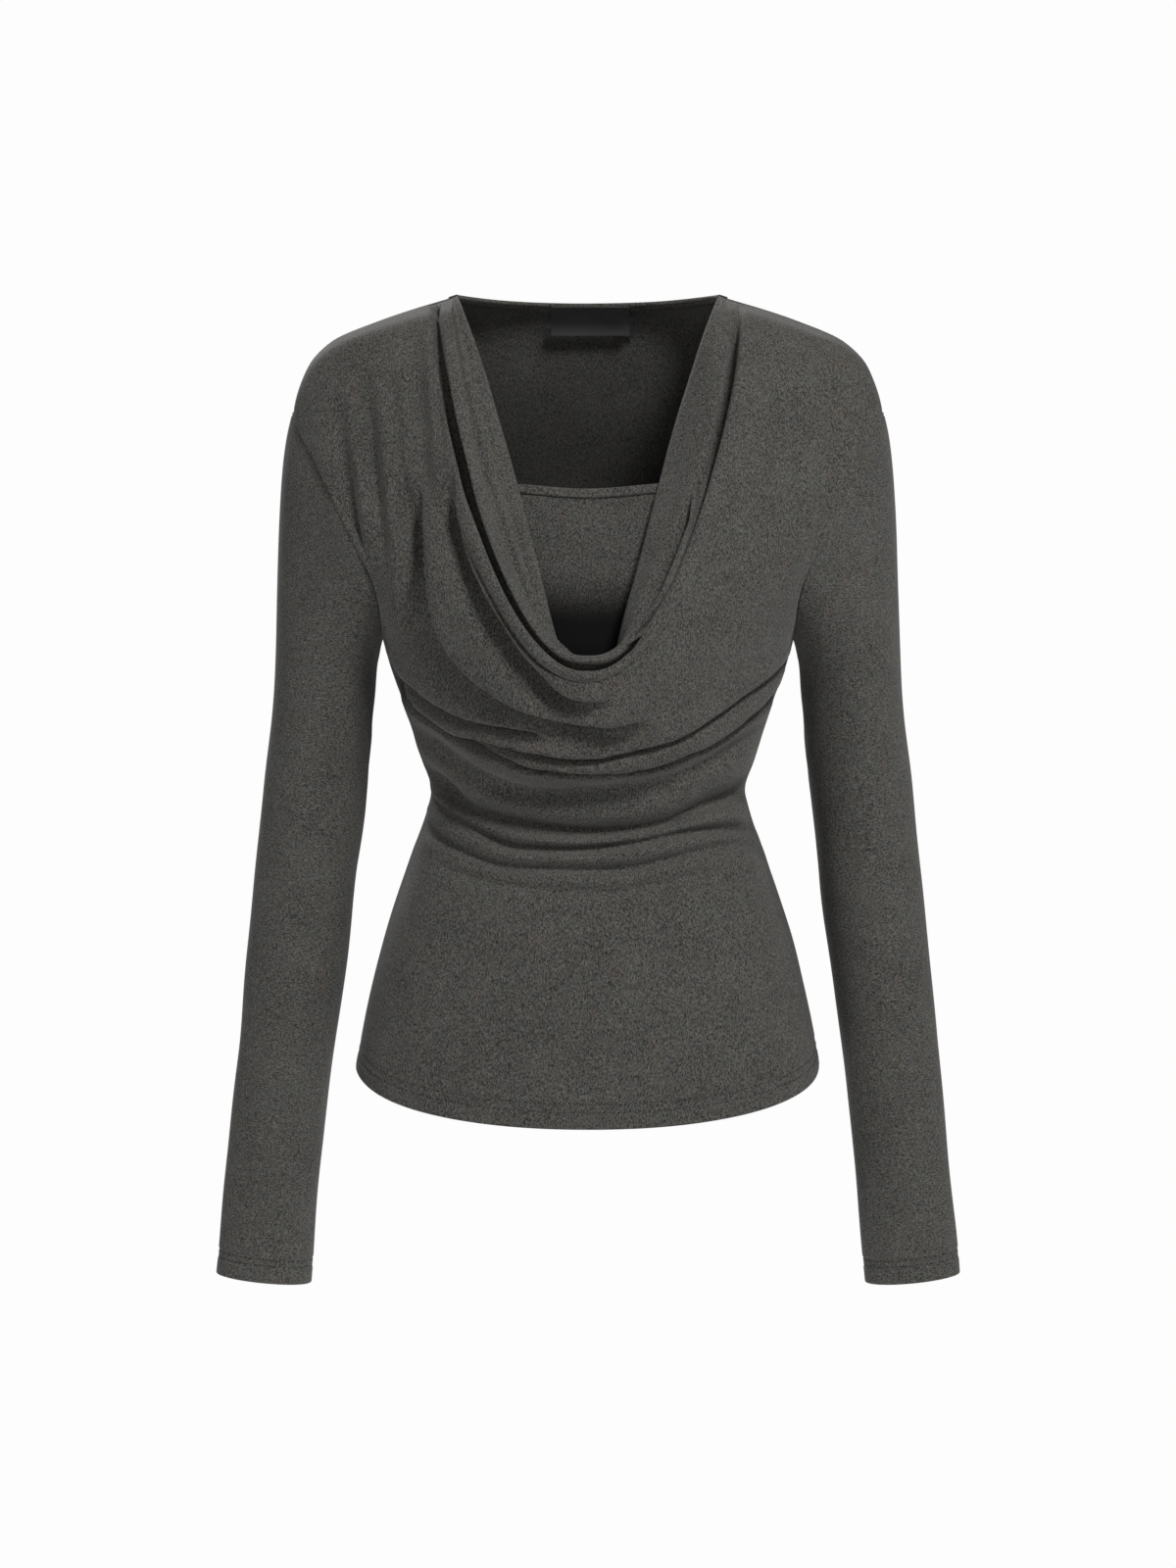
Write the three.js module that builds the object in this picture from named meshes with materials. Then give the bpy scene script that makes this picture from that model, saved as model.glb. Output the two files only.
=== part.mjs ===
// A long sleeved jersey top with a draped cowl neck, filled out as it is when worn.
// The cowl front hangs in swags over a plain inner panel. A back and two sleeves close the form,
// a narrow binding finishes the back neck and the inner panel, and a woven label hangs at the neck.
// Lengths are in millimetres. +Z is up, the front faces -Y, and +X is on the right from the front.
// The origin is on the centre line, level with the neck ends of the shoulder seams.
import * as THREE from "three";

// Rows of a table, as objects with named columns
function table(columns, rows) {
  return rows.map((row) => Object.fromEntries(columns.map((name, i) => [name, row[i]])));
}

// Cloth and sewing
const WALL = 1.5; // the jersey
const BINDING_WALL = 1.2;
const LABEL_WALL = 0.8;
const SEAM_GAP = 0.35; // between pieces that are sewn together
const BINDING_WIDTH = 6.5;
const BINDING_DROP = 0.8; // from the panel's edge to the binding's
const BINDING_STOPS = 2; // mesh columns between a binding's end and its panel's edge
// Patches at the back neck: `top` is how far below the origin they start, `off` how far they stand
// off the back and `curl` how much further their lower edges do
const TAB = { fromX: 22, toX: 33, top: 13, height: 15, off: 1.35, curl: 0.5 };
const LABEL = { fromX: -27, toX: 30.5, top: 4.5, height: 21, off: 2.8, curl: 3.5 };

// The body's horizontal sections: `down` is the distance below the origin, `half` the half width,
// `edge` the half width at which the panel ends (its armhole), `front` and `back` the depths from
// the side seams, and `cowl` how far the draped front stands off the figure on the centre line.
const SECTIONS = table(
  ["down", "half", "edge", "front", "back", "cowl"],
  [
    [2, 93, 93, 26, 46, 0],
    [18, 144, 144, 42, 63, 1],
    [35, 183, 183, 51, 70, 3],
    [53, 199.5, 199.5, 58, 75, 5],
    [83, 209, 209, 67, 81, 9],
    [113, 212, 195.5, 75, 86, 15],
    [143, 208, 180, 84, 89, 21],
    [165, 200, 168.5, 92, 90, 25],
    [189, 184, 157.6, 100, 89, 28],
    [206, 168, 150.5, 106, 88, 30],
    [226, 155, 147, 110, 86, 30],
    [244, 146.6, 146.6, 111, 84, 30],
    [262, 141.8, 141.8, 108, 81, 32],
    [296, 129.8, 129.8, 98, 75, 35],
    [331, 118.8, 118.8, 88, 69, 26],
    [353, 112, 112, 84, 67, 10],
    [364, 114, 114, 84, 69, 6],
    [402, 127.6, 127.6, 89, 82, 0],
    [455, 145, 145, 96, 98, 0],
    [508, 158.2, 158.2, 99, 107, 0],
    [548.5, 166, 166, 100, 110, 0],
  ],
);
const NECK_DOWN = 2; // the neck ends of the shoulder seams
const TIP_DOWN = 83; // the top of the armhole
const UNDERARM_DOWN = 244;
const HEM_DOWN = 548.5; // the hem at the side seams
const FRONT_ROUND = 2.45; // exponents of the sections' rounded outline
const BACK_ROUND = 2.3;
const COWL_SPREAD = 1.5; // how fast the cowl's stand fades towards the sides
const STAND_SPREAD = 1.4; // the same for a line's own stand

// Lines of cloth across a panel. `at` runs along the panel's edge: 0 to 1 down the shoulder seam,
// 1 to 2 down the armhole, 2 to 3 down the side seam. `down` is where the line crosses the centre,
// `bend`, `rise` and `flat` shape its sag, `follow` says how far it keeps to the outline, `crowd`
// gathers the mesh at the centre, and `stand` lifts the cloth off the panel there.
const FRONT_LINES = table(
  ["name", "at", "down", "bend", "rise", "flat", "follow", "crowd", "stand"],
  [
    ["free edge", 0, 284, 1.25, 1.3, 0.05, 0, 1.45, -24],
    ["facing", 0.012, 267, 1.3, 0.9, 0.12, 0, 1.5, -15],
    ["lip", 0.032, 252, 1.45, 0.65, 0.2, 0, 1.5, -3],
    ["roll", 0.065, 255.5, 1.6, 0.68, 0.16, 0, 1.5, 2.5],
    ["tuck", 0.1, 260.5, 1.75, 0.72, 0.06, 0, 1.45, -3],
    ["outer fold", 0.135, 265.5, 1.8, 0.72, 0.05, 0, 1.4, 2],
    ["upper swag", 0.24, 270, 1.9, 0.72, 0, 0.2, 1.35, 0],
    ["shoulder tip", 1, 284, 2.2, 0.8, 0, 1, 1.2, 0],
    ["mid armhole", 1.5, 298, 2.1, 0.9, 0, 1, 1.1, 0],
    ["underarm", 2, 316, 2, 0.9, 0, 1, 1, 0],
    ["lower tuck", 2.1, 331, 2, 0.9, 0, 1, 1, 0],
    ["waist", 2.33, 376, 2, 0.85, 0, 1, 1, 0],
    ["below waist", 2.51, 416, 2, 0.7, 0, 1, 1, 0],
    ["hip", 2.75, 497, 2, 0.55, 0, 1, 1, 0],
    ["hem", 3, 582, 2, 0.5, 0, 1, 1, 0],
  ],
);
const BACK_LINES = table(
  ["name", "at", "down", "bend", "rise", "flat", "follow", "crowd", "stand"],
  [
    ["neckline", 0, 6.5, 2, 1, 0, 0, 1, 0],
    ["shoulder tip", 1, 96, 2, 1, 0, 1, 1, 0],
    ["underarm", 2, 252, 2, 0.8, 0, 1, 1, 0],
    ["waist", 2.33, 353, 2, 0.6, 0, 1, 1, 0],
    ["hem", 3, 576, 2, 0.5, 0, 1, 1, 0],
  ],
);

const NECK_END = 0.2; // the folded neck edge ends here on the shoulder seam

// Creases that run across the front. Each sinks along a line from its left end through its lowest
// point to its right end; `above` and `below` are its widths on the two sides, and `depth` its depth.
const CREASE_COLUMNS = [
  ...["name", "leftX", "leftDown", "lowX", "lowDown", "rightX", "rightDown"],
  ...["bendLeft", "bendRight", "above", "below", "depth"],
];
const FRONT_CREASES = table(
  CREASE_COLUMNS,
  [
    ["second swag", -97, 135, 5, 284, 16, 283, 2.2, 2, 5, 16, 5],
    ["third swag", -117, 182, 18, 301, 44, 298, 4, 2, 5, 20, 6.5],
    ["left side fold", -137, 264, -24, 315, -20, 315, 1.5, 2, 5, 10, 5],
    ["upper tuck", -98, 302, 0, 322.5, 140, 260, 1.6, 1.75, 5, 7, 5.5],
    ["lower tuck", -135, 272, 5, 333, 128, 286, 2.4, 2.1, 5, 9, 6],
    ["upper waist", -114, 310, -5, 350, 98, 322, 2, 2, 16, 10, 3.5],
    ["waist", -113, 340, 0, 376, 112, 352, 2, 1.8, 17, 7, 5],
    ["second waist", -106, 362, -5, 389, 118, 377, 2, 1.6, 10, 6, 3.5],
    ["third waist", -108, 380, 0, 402, 122, 390, 2, 1.6, 10, 6, 3],
  ],
);
const CREASE_FADE = 14; // the length over which a crease fades out at its ends
const BACK_CREASES = table(
  CREASE_COLUMNS,
  [
    ["upper waist", -112, 322, -12, 333, 108, 318, 2, 2, 14, 9, 4],
    ["waist", -110, 344, 10, 356, 112, 342, 2, 2, 14, 8, 4.5],
    ["lower waist", -114, 368, -5, 378, 104, 366, 2, 2, 12, 8, 3.5],
  ],
);
// Soft folds that fall from the shoulders
const FALLS = table(
  ["name", "topX", "topDown", "endX", "endDown", "width", "depth"],
  [
    ["left inner", -119, 40, -114, 165, 9, 3],
    ["left middle", -137, 60, -130, 150, 8, 2],
    ["left outer", -156, 68, -144, 172, 10, 3],
    ["right outer", 170, 84, 163, 150, 8, 2],
  ],
);

// Sleeves: `down` is the height of the sleeve's outer line, `outer` and `inner` the distances of
// its two sides from the centre line, `lift` how far the inner side lies below the outer one,
// `depth` its half depth and `forward` how far the arm hangs forward.
const SLEEVE_RINGS = table(
  ["down", "outer", "inner", "lift", "depth", "forward"],
  [
    [83, 209, 146.6, 161, 60, 0],
    [100, 213, 147.4, 146, 58, 0],
    [122, 216, 148.2, 127, 55, 0],
    [150, 218.2, 149, 103, 52, 0],
    [182, 220, 149.8, 76, 49, 0],
    [215, 221.4, 150.8, 50, 47, 0],
    [250, 222.4, 151.4, 27, 45, 1],
    [300, 225.4, 153.6, 12, 43, 3],
    [350, 230.8, 158, 8, 41, 5],
    [420, 238.4, 166, 7, 38, 9],
    [490, 245.2, 175.4, 7, 35, 14],
    [560, 251.8, 185, 7, 32, 19],
    [630, 259.2, 192.4, 7, 28, 23],
    [695.5, 265.2, 197.6, 7, 25, 26],
  ],
);
const SLEEVE_RING_COUNT = 15;
const CAP_ROWS = 7; // the table's rows over which the armhole's own shape fades out

// Inner panel: a plain inset under the cowl, from one armhole to the other
const PANEL_TOP = 139.5; // its top edge on the centre line
const PANEL_BOTTOM = 292; // its lower edge, which the cowl hides
const PANEL_TOP_AT = 1.34; // where its top edge meets the armhole
const PANEL_BOTTOM_AT = 1.97; // and where its sides end, under the arms
const PANEL_INSET = 10; // how far it lies inside the figure
const PANEL_SIDE_INSET = 6;
const PANEL_SAG = 1.3; // how its lines bend: 1 is a V and 2 a round sag
const PANEL_SEAT = 9; // how sharply its sides turn out to their seams
const PANEL_ROWS = 9;
const PANEL_COLUMNS = 22;

// Mesh density
const FRONT_COLUMNS = 38;
const BACK_COLUMNS = 22;
const ARMHOLE_STEPS = 11;
const SHOULDER_STEPS = 5;
const FRONT_WAIST_STEPS = 12; // down to the last waist crease
const FRONT_HIP_STEPS = 5;
const WAIST_END = 2.55; // where that crease meets the side seam
const BACK_SIDE_STEPS = 12;
const HELD_COLUMNS = 2; // columns beside a seam that no fold moves far
const BEND_SAMPLES = 160; // samples of a line before it is spaced evenly
const SEAM_COUNTS = { shoulder: 60, armhole: ARMHOLE_STEPS, side: 120 };

const clamp = (value, low, high) => Math.min(high, Math.max(low, value));
const mix = (a, b, share) => a + (b - a) * share;

function fade(share) {
  const t = clamp(share, 0, 1);
  return t * t * (3 - 2 * t);
}

// One column of a table as a smooth function that does not overshoot its rows
function columnOf(rows, by, name) {
  const x = rows.map((row) => row[by]);
  const y = rows.map((row) => row[name]);
  const rate = (i) => (y[i + 1] - y[i]) / (x[i + 1] - x[i]);
  const slopes = y.map((_, i) => {
    if (i === 0) return rate(0);
    if (i === y.length - 1) return rate(i - 1);
    const [before, after] = [rate(i - 1), rate(i)];
    return before * after <= 0 ? 0 : (2 * before * after) / (before + after);
  });
  return (at) => {
    const place = clamp(at, x[0], x[x.length - 1]);
    let i = x.findIndex((value, k) => k > 0 && place <= value) - 1;
    i = Math.max(i, 0);
    const step = x[i + 1] - x[i];
    const t = (place - x[i]) / step;
    const keep = (1 + 2 * t) * (1 - t) ** 2;
    const leave = t * (1 - t) ** 2 * step;
    const arrive = t * t * (t - 1) * step;
    return keep * y[i] + (1 - keep) * y[i + 1] + leave * slopes[i] + arrive * slopes[i + 1];
  };
}

const half = columnOf(SECTIONS, "down", "half");
const edge = columnOf(SECTIONS, "down", "edge");
const frontDepth = columnOf(SECTIONS, "down", "front");
const backDepth = columnOf(SECTIONS, "down", "back");
const cowlStand = columnOf(SECTIONS, "down", "cowl");

// How much of a section's depth is left at a distance x from the centre
function sectionShare(x, down, exponent) {
  const share = clamp(Math.abs(x) / half(down), 0, 1);
  return (1 - share ** exponent) ** (1 / exponent);
}

// How far the cowl stands off the figure
function cowlAt(x, down) {
  const share = clamp(Math.abs(x) / half(down), 0, 1);
  return cowlStand(down) * (1 - share * share) ** COWL_SPREAD;
}

const frontY = (x, down, stand) =>
  -(frontDepth(down) * sectionShare(x, down, FRONT_ROUND) + cowlAt(x, down) + stand);
const backY = (x, down, stand) => backDepth(down) * sectionShare(x, down, BACK_ROUND) + stand;

// Points along a line given as a function of 0 to 1, evenly spaced or crowded towards its end
function spaced(line, steps, crowd = 1) {
  const fine = Array.from({ length: BEND_SAMPLES + 1 }, (_, i) => line(i / BEND_SAMPLES));
  const lengths = [0];
  for (let i = 1; i < fine.length; i++) {
    lengths.push(lengths[i - 1] + fine[i].distanceTo(fine[i - 1]));
  }
  return Array.from({ length: steps + 1 }, (_, k) => {
    const wanted = lengths[BEND_SAMPLES] * (1 - (1 - k / steps) ** crowd);
    const i = lengths.findIndex((length, j) => j === BEND_SAMPLES || (j > 0 && length >= wanted));
    const share = (wanted - lengths[i - 1]) / (lengths[i] - lengths[i - 1]);
    return fine[i - 1].clone().lerp(fine[i], share);
  });
}

// The three stretches of a panel's edge: shoulder seam, armhole and side seam
function edgeStretches(depthAt, counts) {
  const stretch = (fromDown, toDown, widthAt) => (t) => {
    const down = mix(fromDown, toDown, t);
    const x = widthAt(down);
    return new THREE.Vector3(x, depthAt(x, down, 0), -down);
  };
  return {
    shoulder: spaced(stretch(NECK_DOWN, TIP_DOWN, half), counts.shoulder),
    armhole: spaced(stretch(TIP_DOWN, UNDERARM_DOWN, edge), counts.armhole),
    side: spaced(stretch(UNDERARM_DOWN, HEM_DOWN, half), counts.side),
  };
}

// A point on a stretch by its share of the length
function alongPoints(points, share) {
  const place = clamp(share, 0, 1) * (points.length - 1);
  const i = Math.min(Math.floor(place), points.length - 2);
  return points[i].clone().lerp(points[i + 1], place - i);
}

// The edge point at 0 to 3, through the three stretches
function edgePoint(stretches, at) {
  if (at <= 1) return alongPoints(stretches.shoulder, at);
  if (at <= 2) return alongPoints(stretches.armhole, at - 1);
  return alongPoints(stretches.side, at - 2);
}

// One row of a panel, from its right edge to the centre: it sags from the edge point to `down`
function sagRow(lines, at, end, depthAt, steps) {
  const endDown = -end.z;
  const widthAt = (down) => (down < TIP_DOWN ? half(TIP_DOWN) : edge(down));
  const [centre, bend, riseBy, flat, follow] = ["down", "bend", "rise", "flat", "follow"].map((name) =>
    lines[name](at),
  );
  const line = (t) => {
    const share = 1 - t;
    const slope = (Math.hypot(share, flat) - flat) / (Math.hypot(1, flat) - flat);
    const rise = 1 - (1 - slope ** bend) ** riseBy;
    const down = mix(centre, endDown, rise);
    const x = share * end.x * (widthAt(down) / widthAt(endDown)) ** follow;
    const stand = lines.stand(at) * fade((1 - share ** 2) * STAND_SPREAD);
    return new THREE.Vector3(x, depthAt(x, down, stand), -down);
  };
  const row = spaced(line, steps, lines.crowd(at));
  row[0] = end.clone();
  return row;
}

// How far down a crease lies at a distance x from the centre
function creaseLine(crease, x) {
  const left = x < crease.lowX;
  const endX = left ? crease.leftX : crease.rightX;
  const endDown = left ? crease.leftDown : crease.rightDown;
  const power = left ? crease.bendLeft : crease.bendRight;
  const share = clamp((x - crease.lowX) / (endX - crease.lowX), 0, 1);
  return mix(crease.lowDown, endDown, share ** power);
}

// How far a crease sinks the cloth at a point
function creaseDepth(crease, point) {
  const slope = creaseLine(crease, point.x + 0.5) - creaseLine(crease, point.x - 0.5);
  const away = (creaseLine(crease, point.x) + point.z) / Math.hypot(1, slope);
  const reach = away > 0 ? crease.above : crease.below;
  const across = Math.max(0, 1 - Math.abs(away) / reach) ** 2;
  const inside = Math.min(point.x - crease.leftX, crease.rightX - point.x);
  return crease.depth * across * fade(inside / CREASE_FADE + 0.5);
}

// How far a falling fold sinks the cloth at a point
function fallDepth(fall, point) {
  const along = (-point.z - fall.topDown) / (fall.endDown - fall.topDown);
  if (along < 0 || along > 1) return 0;
  const away = (point.x - mix(fall.topX, fall.endX, along)) / fall.width;
  return fall.depth * Math.exp(-away * away) * Math.sin(Math.PI * along);
}

// Normals of a grid of points whose columns run to the right and rows run down: `side` is 1 when
// the sheet's outer face looks backwards and -1 when it looks forwards
function gridNormals(grid, side) {
  const at = (r, c) => grid[clamp(r, 0, grid.length - 1)][clamp(c, 0, grid[0].length - 1)];
  return grid.map((row, r) =>
    row.map((_, c) => {
      const across = at(r, c + 1).clone().sub(at(r, c - 1));
      const downward = at(r + 1, c).clone().sub(at(r - 1, c));
      return across.cross(downward).normalize().multiplyScalar(side);
    }),
  );
}

// Sinks a panel's points along its normals; the outermost columns keep their place
function foldPanel(grid, normals, depthAt) {
  const last = grid[0].length - 1;
  return grid.map((row, r) =>
    row.map((point, c) => {
      const hold = fade(Math.min(c, last - c) / HELD_COLUMNS);
      return point.clone().addScaledVector(normals[r][c], -depthAt(point) * hold);
    }),
  );
}

// A closed wall between an outer and an inner grid of points. A tube's rows close on themselves.
function wallGeometry(outer, inner, tube) {
  const rows = outer.length;
  const columns = outer[0].length;
  const points = [...outer.flat(), ...inner.flat()];
  const back = rows * columns;
  const index = [];
  const quad = (a, b, c, d) => {
    const shorter = points[a].distanceTo(points[c]) <= points[b].distanceTo(points[d]);
    index.push(...(shorter ? [a, b, c, a, c, d] : [a, b, d, b, c, d]));
  };
  const steps = tube ? columns : columns - 1;
  for (let r = 0; r < rows - 1; r++) {
    for (let c = 0; c < steps; c++) {
      const next = (c + 1) % columns;
      const [a, b] = [r * columns + c, r * columns + next];
      const [d, e] = [a + columns, b + columns];
      quad(a, d, e, b);
      quad(back + a, back + b, back + e, back + d);
    }
  }
  for (let c = 0; c < steps; c++) {
    const next = (c + 1) % columns;
    const foot = (rows - 1) * columns;
    quad(c, next, back + next, back + c);
    quad(foot + next, foot + c, back + foot + c, back + foot + next);
  }
  for (let r = 0; r < rows - 1 && !tube; r++) {
    const [a, b] = [r * columns, (r + 1) * columns];
    const [c, d] = [a + columns - 1, b + columns - 1];
    quad(b, a, back + a, back + b);
    quad(c, d, back + d, back + c);
  }
  const geometry = new THREE.BufferGeometry().setFromPoints(points);
  geometry.setIndex(index);
  return geometry;
}

// Turns a wall's faces round when they point inwards
function facingOut(geometry) {
  const p = geometry.getAttribute("position");
  const index = geometry.getIndex().array;
  const [a, b, c] = [new THREE.Vector3(), new THREE.Vector3(), new THREE.Vector3()];
  let volume = 0;
  for (let i = 0; i < index.length; i += 3) {
    a.fromBufferAttribute(p, index[i]);
    b.fromBufferAttribute(p, index[i + 1]);
    c.fromBufferAttribute(p, index[i + 2]);
    volume += a.dot(b.cross(c));
  }
  if (volume < 0) {
    for (let i = 0; i < index.length; i += 3) {
      [index[i + 1], index[i + 2]] = [index[i + 2], index[i + 1]];
    }
  }
  geometry.computeVertexNormals();
  return geometry;
}

function wallMesh(name, outer, inner, tube, material) {
  const mesh = new THREE.Mesh(facingOut(wallGeometry(outer, inner, tube)), material);
  mesh.name = name;
  return mesh;
}

const offsetGrid = (grid, normals, distance) =>
  grid.map((row, r) => row.map((point, c) => point.clone().addScaledVector(normals[r][c], distance)));

// A panel of the body: its lines sag between the two edges, and its edges share the seams' points
function bodyPanel({ table, rows, depthAt, sinkAt, columns, side }) {
  const stretches = edgeStretches(depthAt, SEAM_COUNTS);
  const lines = {};
  for (const name of ["down", "bend", "rise", "flat", "follow", "crowd", "stand"]) {
    lines[name] = columnOf(table, "at", name);
  }
  const base = rows.map((at) => {
    const right = sagRow(lines, at, edgePoint(stretches, at), depthAt, columns / 2);
    const left = right.slice(0, -1).map((p) => new THREE.Vector3(-p.x, p.y, p.z));
    return [...left, ...right.reverse()];
  });
  const gap = (SEAM_GAP / 2) * side;
  base.flat().forEach((point) => (point.y += gap));
  const outer = foldPanel(base, gridNormals(base, side), sinkAt);
  const normals = gridNormals(outer, side);
  normals.forEach((row, r) => {
    for (const c of [0, columns]) {
      const seam = Math.abs(base[r][c].y) < SEAM_GAP; // on a shoulder or side seam
      if (seam) row[c].set(row[c].x, 0, row[c].z).normalize();
    }
  });
  return { outer, inner: offsetGrid(outer, normals, -WALL), normals };
}

// Rows of a panel: some fixed lines near the neck, then evenly along the three stretches
function evenly(from, to, steps) {
  return Array.from({ length: steps }, (_, i) => mix(from, to, (i + 1) / steps));
}

const FRONT_NECK_ROWS = FRONT_LINES.filter((line) => line.at < NECK_END).map((line) => line.at);
const FRONT_ROWS = [
  ...FRONT_NECK_ROWS,
  NECK_END,
  ...evenly(NECK_END, 1, SHOULDER_STEPS),
  ...evenly(1, 2, ARMHOLE_STEPS),
  ...evenly(2, WAIST_END, FRONT_WAIST_STEPS),
  ...evenly(WAIST_END, 3, FRONT_HIP_STEPS),
];
const BACK_ROWS = [
  0,
  ...evenly(0, 1, SHOULDER_STEPS + 1),
  ...evenly(1, 2, ARMHOLE_STEPS),
  ...evenly(2, 3, BACK_SIDE_STEPS),
];
const front = bodyPanel({
  table: FRONT_LINES,
  rows: FRONT_ROWS,
  depthAt: frontY,
  sinkAt: (point) =>
    FRONT_CREASES.reduce((sum, crease) => sum + creaseDepth(crease, point), 0) +
    FALLS.reduce((sum, fall) => sum + fallDepth(fall, point), 0),
  columns: FRONT_COLUMNS,
  side: -1,
});
const back = bodyPanel({
  table: BACK_LINES,
  rows: BACK_ROWS,
  depthAt: backY,
  sinkAt: (point) => BACK_CREASES.reduce((sum, crease) => sum + creaseDepth(crease, point), 0),
  columns: BACK_COLUMNS,
  side: 1,
});

// The edge of a panel's armhole on one side, from the shoulder tip to the underarm
function armholeEdge(panel, rowsBefore, side) {
  const column = side > 0 ? panel.outer[0].length - 1 : 0;
  const pick = (grid) => grid.slice(rowsBefore, rowsBefore + ARMHOLE_STEPS + 1);
  return {
    outer: pick(panel.outer).map((row) => row[column]),
    inner: pick(panel.inner).map((row) => row[column]),
  };
}

// The whole loop of an armhole: down the front edge and up the back edge
function armholeLoop(side) {
  const before = armholeEdge(front, FRONT_NECK_ROWS.length + SHOULDER_STEPS, side);
  const behind = armholeEdge(back, SHOULDER_STEPS + 1, side);
  const join = (which) => {
    const down = before[which].map((p) => p.clone());
    const up = behind[which].map((p) => p.clone()).reverse();
    down[0].lerp(up[up.length - 1], 0.5);
    down[down.length - 1].lerp(up[0], 0.5);
    return [...down, ...up.slice(1, -1)];
  };
  return { outer: join("outer"), inner: join("inner") };
}

const sleeveColumn = (name) => {
  const rows = SLEEVE_RINGS.map((row, i) => ({ ...row, place: i }));
  return columnOf(rows, "place", name);
};
const sleeveRing = Object.fromEntries(
  ["down", "outer", "inner", "lift", "depth", "forward"].map((name) => [name, sleeveColumn(name)]),
);

// A point of the sleeve: `place` runs down the table's rows, `turn` goes round from the outer line
function sleevePoint(place, turn, side) {
  const [outer, inner] = [sleeveRing.outer(place), sleeveRing.inner(place)];
  const share = (1 - Math.cos(turn)) / 2;
  const x = mix(outer, inner, share);
  const down = sleeveRing.down(place) + sleeveRing.lift(place) * share;
  const y = -Math.sin(turn) * sleeveRing.depth(place) - sleeveRing.forward(place);
  return new THREE.Vector3(side * x, y, -down);
}

// A sleeve: its first ring is the armhole, moved off by the seam gap, and it turns round to the cuff
function sleeve(side) {
  const loop = armholeLoop(side);
  const count = loop.outer.length;
  const last = SLEEVE_RINGS.length - 1;
  const turnOf = (k) => (2 * Math.PI * k) / count;
  const start = loop.outer.map((_, k) => sleevePoint(0, turnOf(k), side));
  const rings = Array.from({ length: SLEEVE_RING_COUNT }, (_, i) => {
    const place = (last * i) / (SLEEVE_RING_COUNT - 1);
    const keep = 1 - fade(place / CAP_ROWS);
    return loop.outer.map((point, k) => {
      const shape = sleevePoint(place, turnOf(k), side);
      const own = point.clone().sub(start[k]);
      return shape.addScaledVector(own, keep);
    });
  });
  const centre = (ring) => ring.reduce((sum, p) => sum.add(p), new THREE.Vector3());
  const normals = rings.map((ring, r) => {
    const middle = centre(ring).divideScalar(count);
    const [above, below] = [rings[Math.max(r - 1, 0)], rings[Math.min(r + 1, rings.length - 1)]];
    return ring.map((point, c) => {
      const around = ring[(c + 1) % count].clone().sub(ring[(c + count - 1) % count]);
      const downward = below[c].clone().sub(above[c]);
      const normal = around.cross(downward).normalize();
      return normal.dot(point.clone().sub(middle)) < 0 ? normal.negate() : normal;
    });
  });
  const inner = offsetGrid(rings, normals, -WALL);
  const off = loop.outer.map((point, k) => {
    const along = loop.outer[(k + 1) % count].clone().sub(loop.outer[(k + count - 1) % count]);
    const away = along.cross(point.clone().sub(loop.inner[k])).normalize();
    return away.multiplyScalar(SEAM_GAP * Math.sign(away.x * side));
  });
  rings[0] = loop.outer.map((p, k) => p.clone().add(off[k]));
  inner[0] = loop.inner.map((p, k) => p.clone().add(off[k]));
  return { outer: rings, inner };
}

// A point of the front's inner face at its edge, moved in by the seam gap
function frontSeat(at) {
  const i = clamp(FRONT_ROWS.findIndex((row) => row > at) - 1, 0, FRONT_ROWS.length - 2);
  const share = (at - FRONT_ROWS[i]) / (FRONT_ROWS[i + 1] - FRONT_ROWS[i]);
  const between = (grid) => grid[i].at(-1).clone().lerp(grid[i + 1].at(-1), share);
  return between(front.inner).addScaledVector(between(front.normals), -SEAM_GAP);
}

// The inner panel follows the figure inside the front, and its sides end at the front's seams
function innerPanel() {
  const shapeY = (x, down) => {
    const share = clamp(Math.abs(x) / (half(down) - PANEL_SIDE_INSET), 0, 1);
    return -(frontDepth(down) - PANEL_INSET) * (1 - share ** FRONT_ROUND) ** (1 / FRONT_ROUND);
  };
  const outer = Array.from({ length: PANEL_ROWS + 1 }, (_, r) => {
    const share = r / PANEL_ROWS;
    const seat = frontSeat(mix(PANEL_TOP_AT, PANEL_BOTTOM_AT, share));
    const centre = mix(PANEL_TOP, PANEL_BOTTOM, share);
    const turnOut = seat.y - shapeY(seat.x, -seat.z);
    return Array.from({ length: PANEL_COLUMNS + 1 }, (_, c) => {
      const across = Math.sin(((c / PANEL_COLUMNS) * 2 - 1) * (Math.PI / 2));
      const x = across * seat.x;
      const down = mix(centre, -seat.z, Math.abs(across) ** PANEL_SAG);
      return new THREE.Vector3(x, shapeY(x, down) + turnOut * across ** (2 * PANEL_SEAT), -down);
    });
  });
  const normals = gridNormals(outer, -1);
  return { outer, inner: offsetGrid(outer, normals, -WALL), normals };
}

const panel = innerPanel();

// The top part of a grid's column, as far as a strip reaches
function stripRow(grid, column, distance) {
  const [top, next] = [grid[0][column], grid[1][column]];
  const direction = next.clone().sub(top).normalize();
  return top.clone().addScaledVector(direction, distance);
}

// A binding on a panel's top edge: made from its points, moved off its face by the seam gap
function binding(face, normals, direction) {
  const strips = [BINDING_DROP, BINDING_WIDTH].map((distance) =>
    face[0].map((_, c) => stripRow(face, c, distance)),
  );
  const trim = (row) => row.slice(BINDING_STOPS, -BINDING_STOPS);
  const near = strips.map((row) =>
    trim(row.map((p, c) => p.clone().addScaledVector(normals[0][c], direction * SEAM_GAP))),
  );
  const reach = direction * (SEAM_GAP + BINDING_WALL);
  const far = strips.map((row) =>
    trim(row.map((p, c) => p.clone().addScaledVector(normals[0][c], reach))),
  );
  return { outer: far, inner: near };
}

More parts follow.
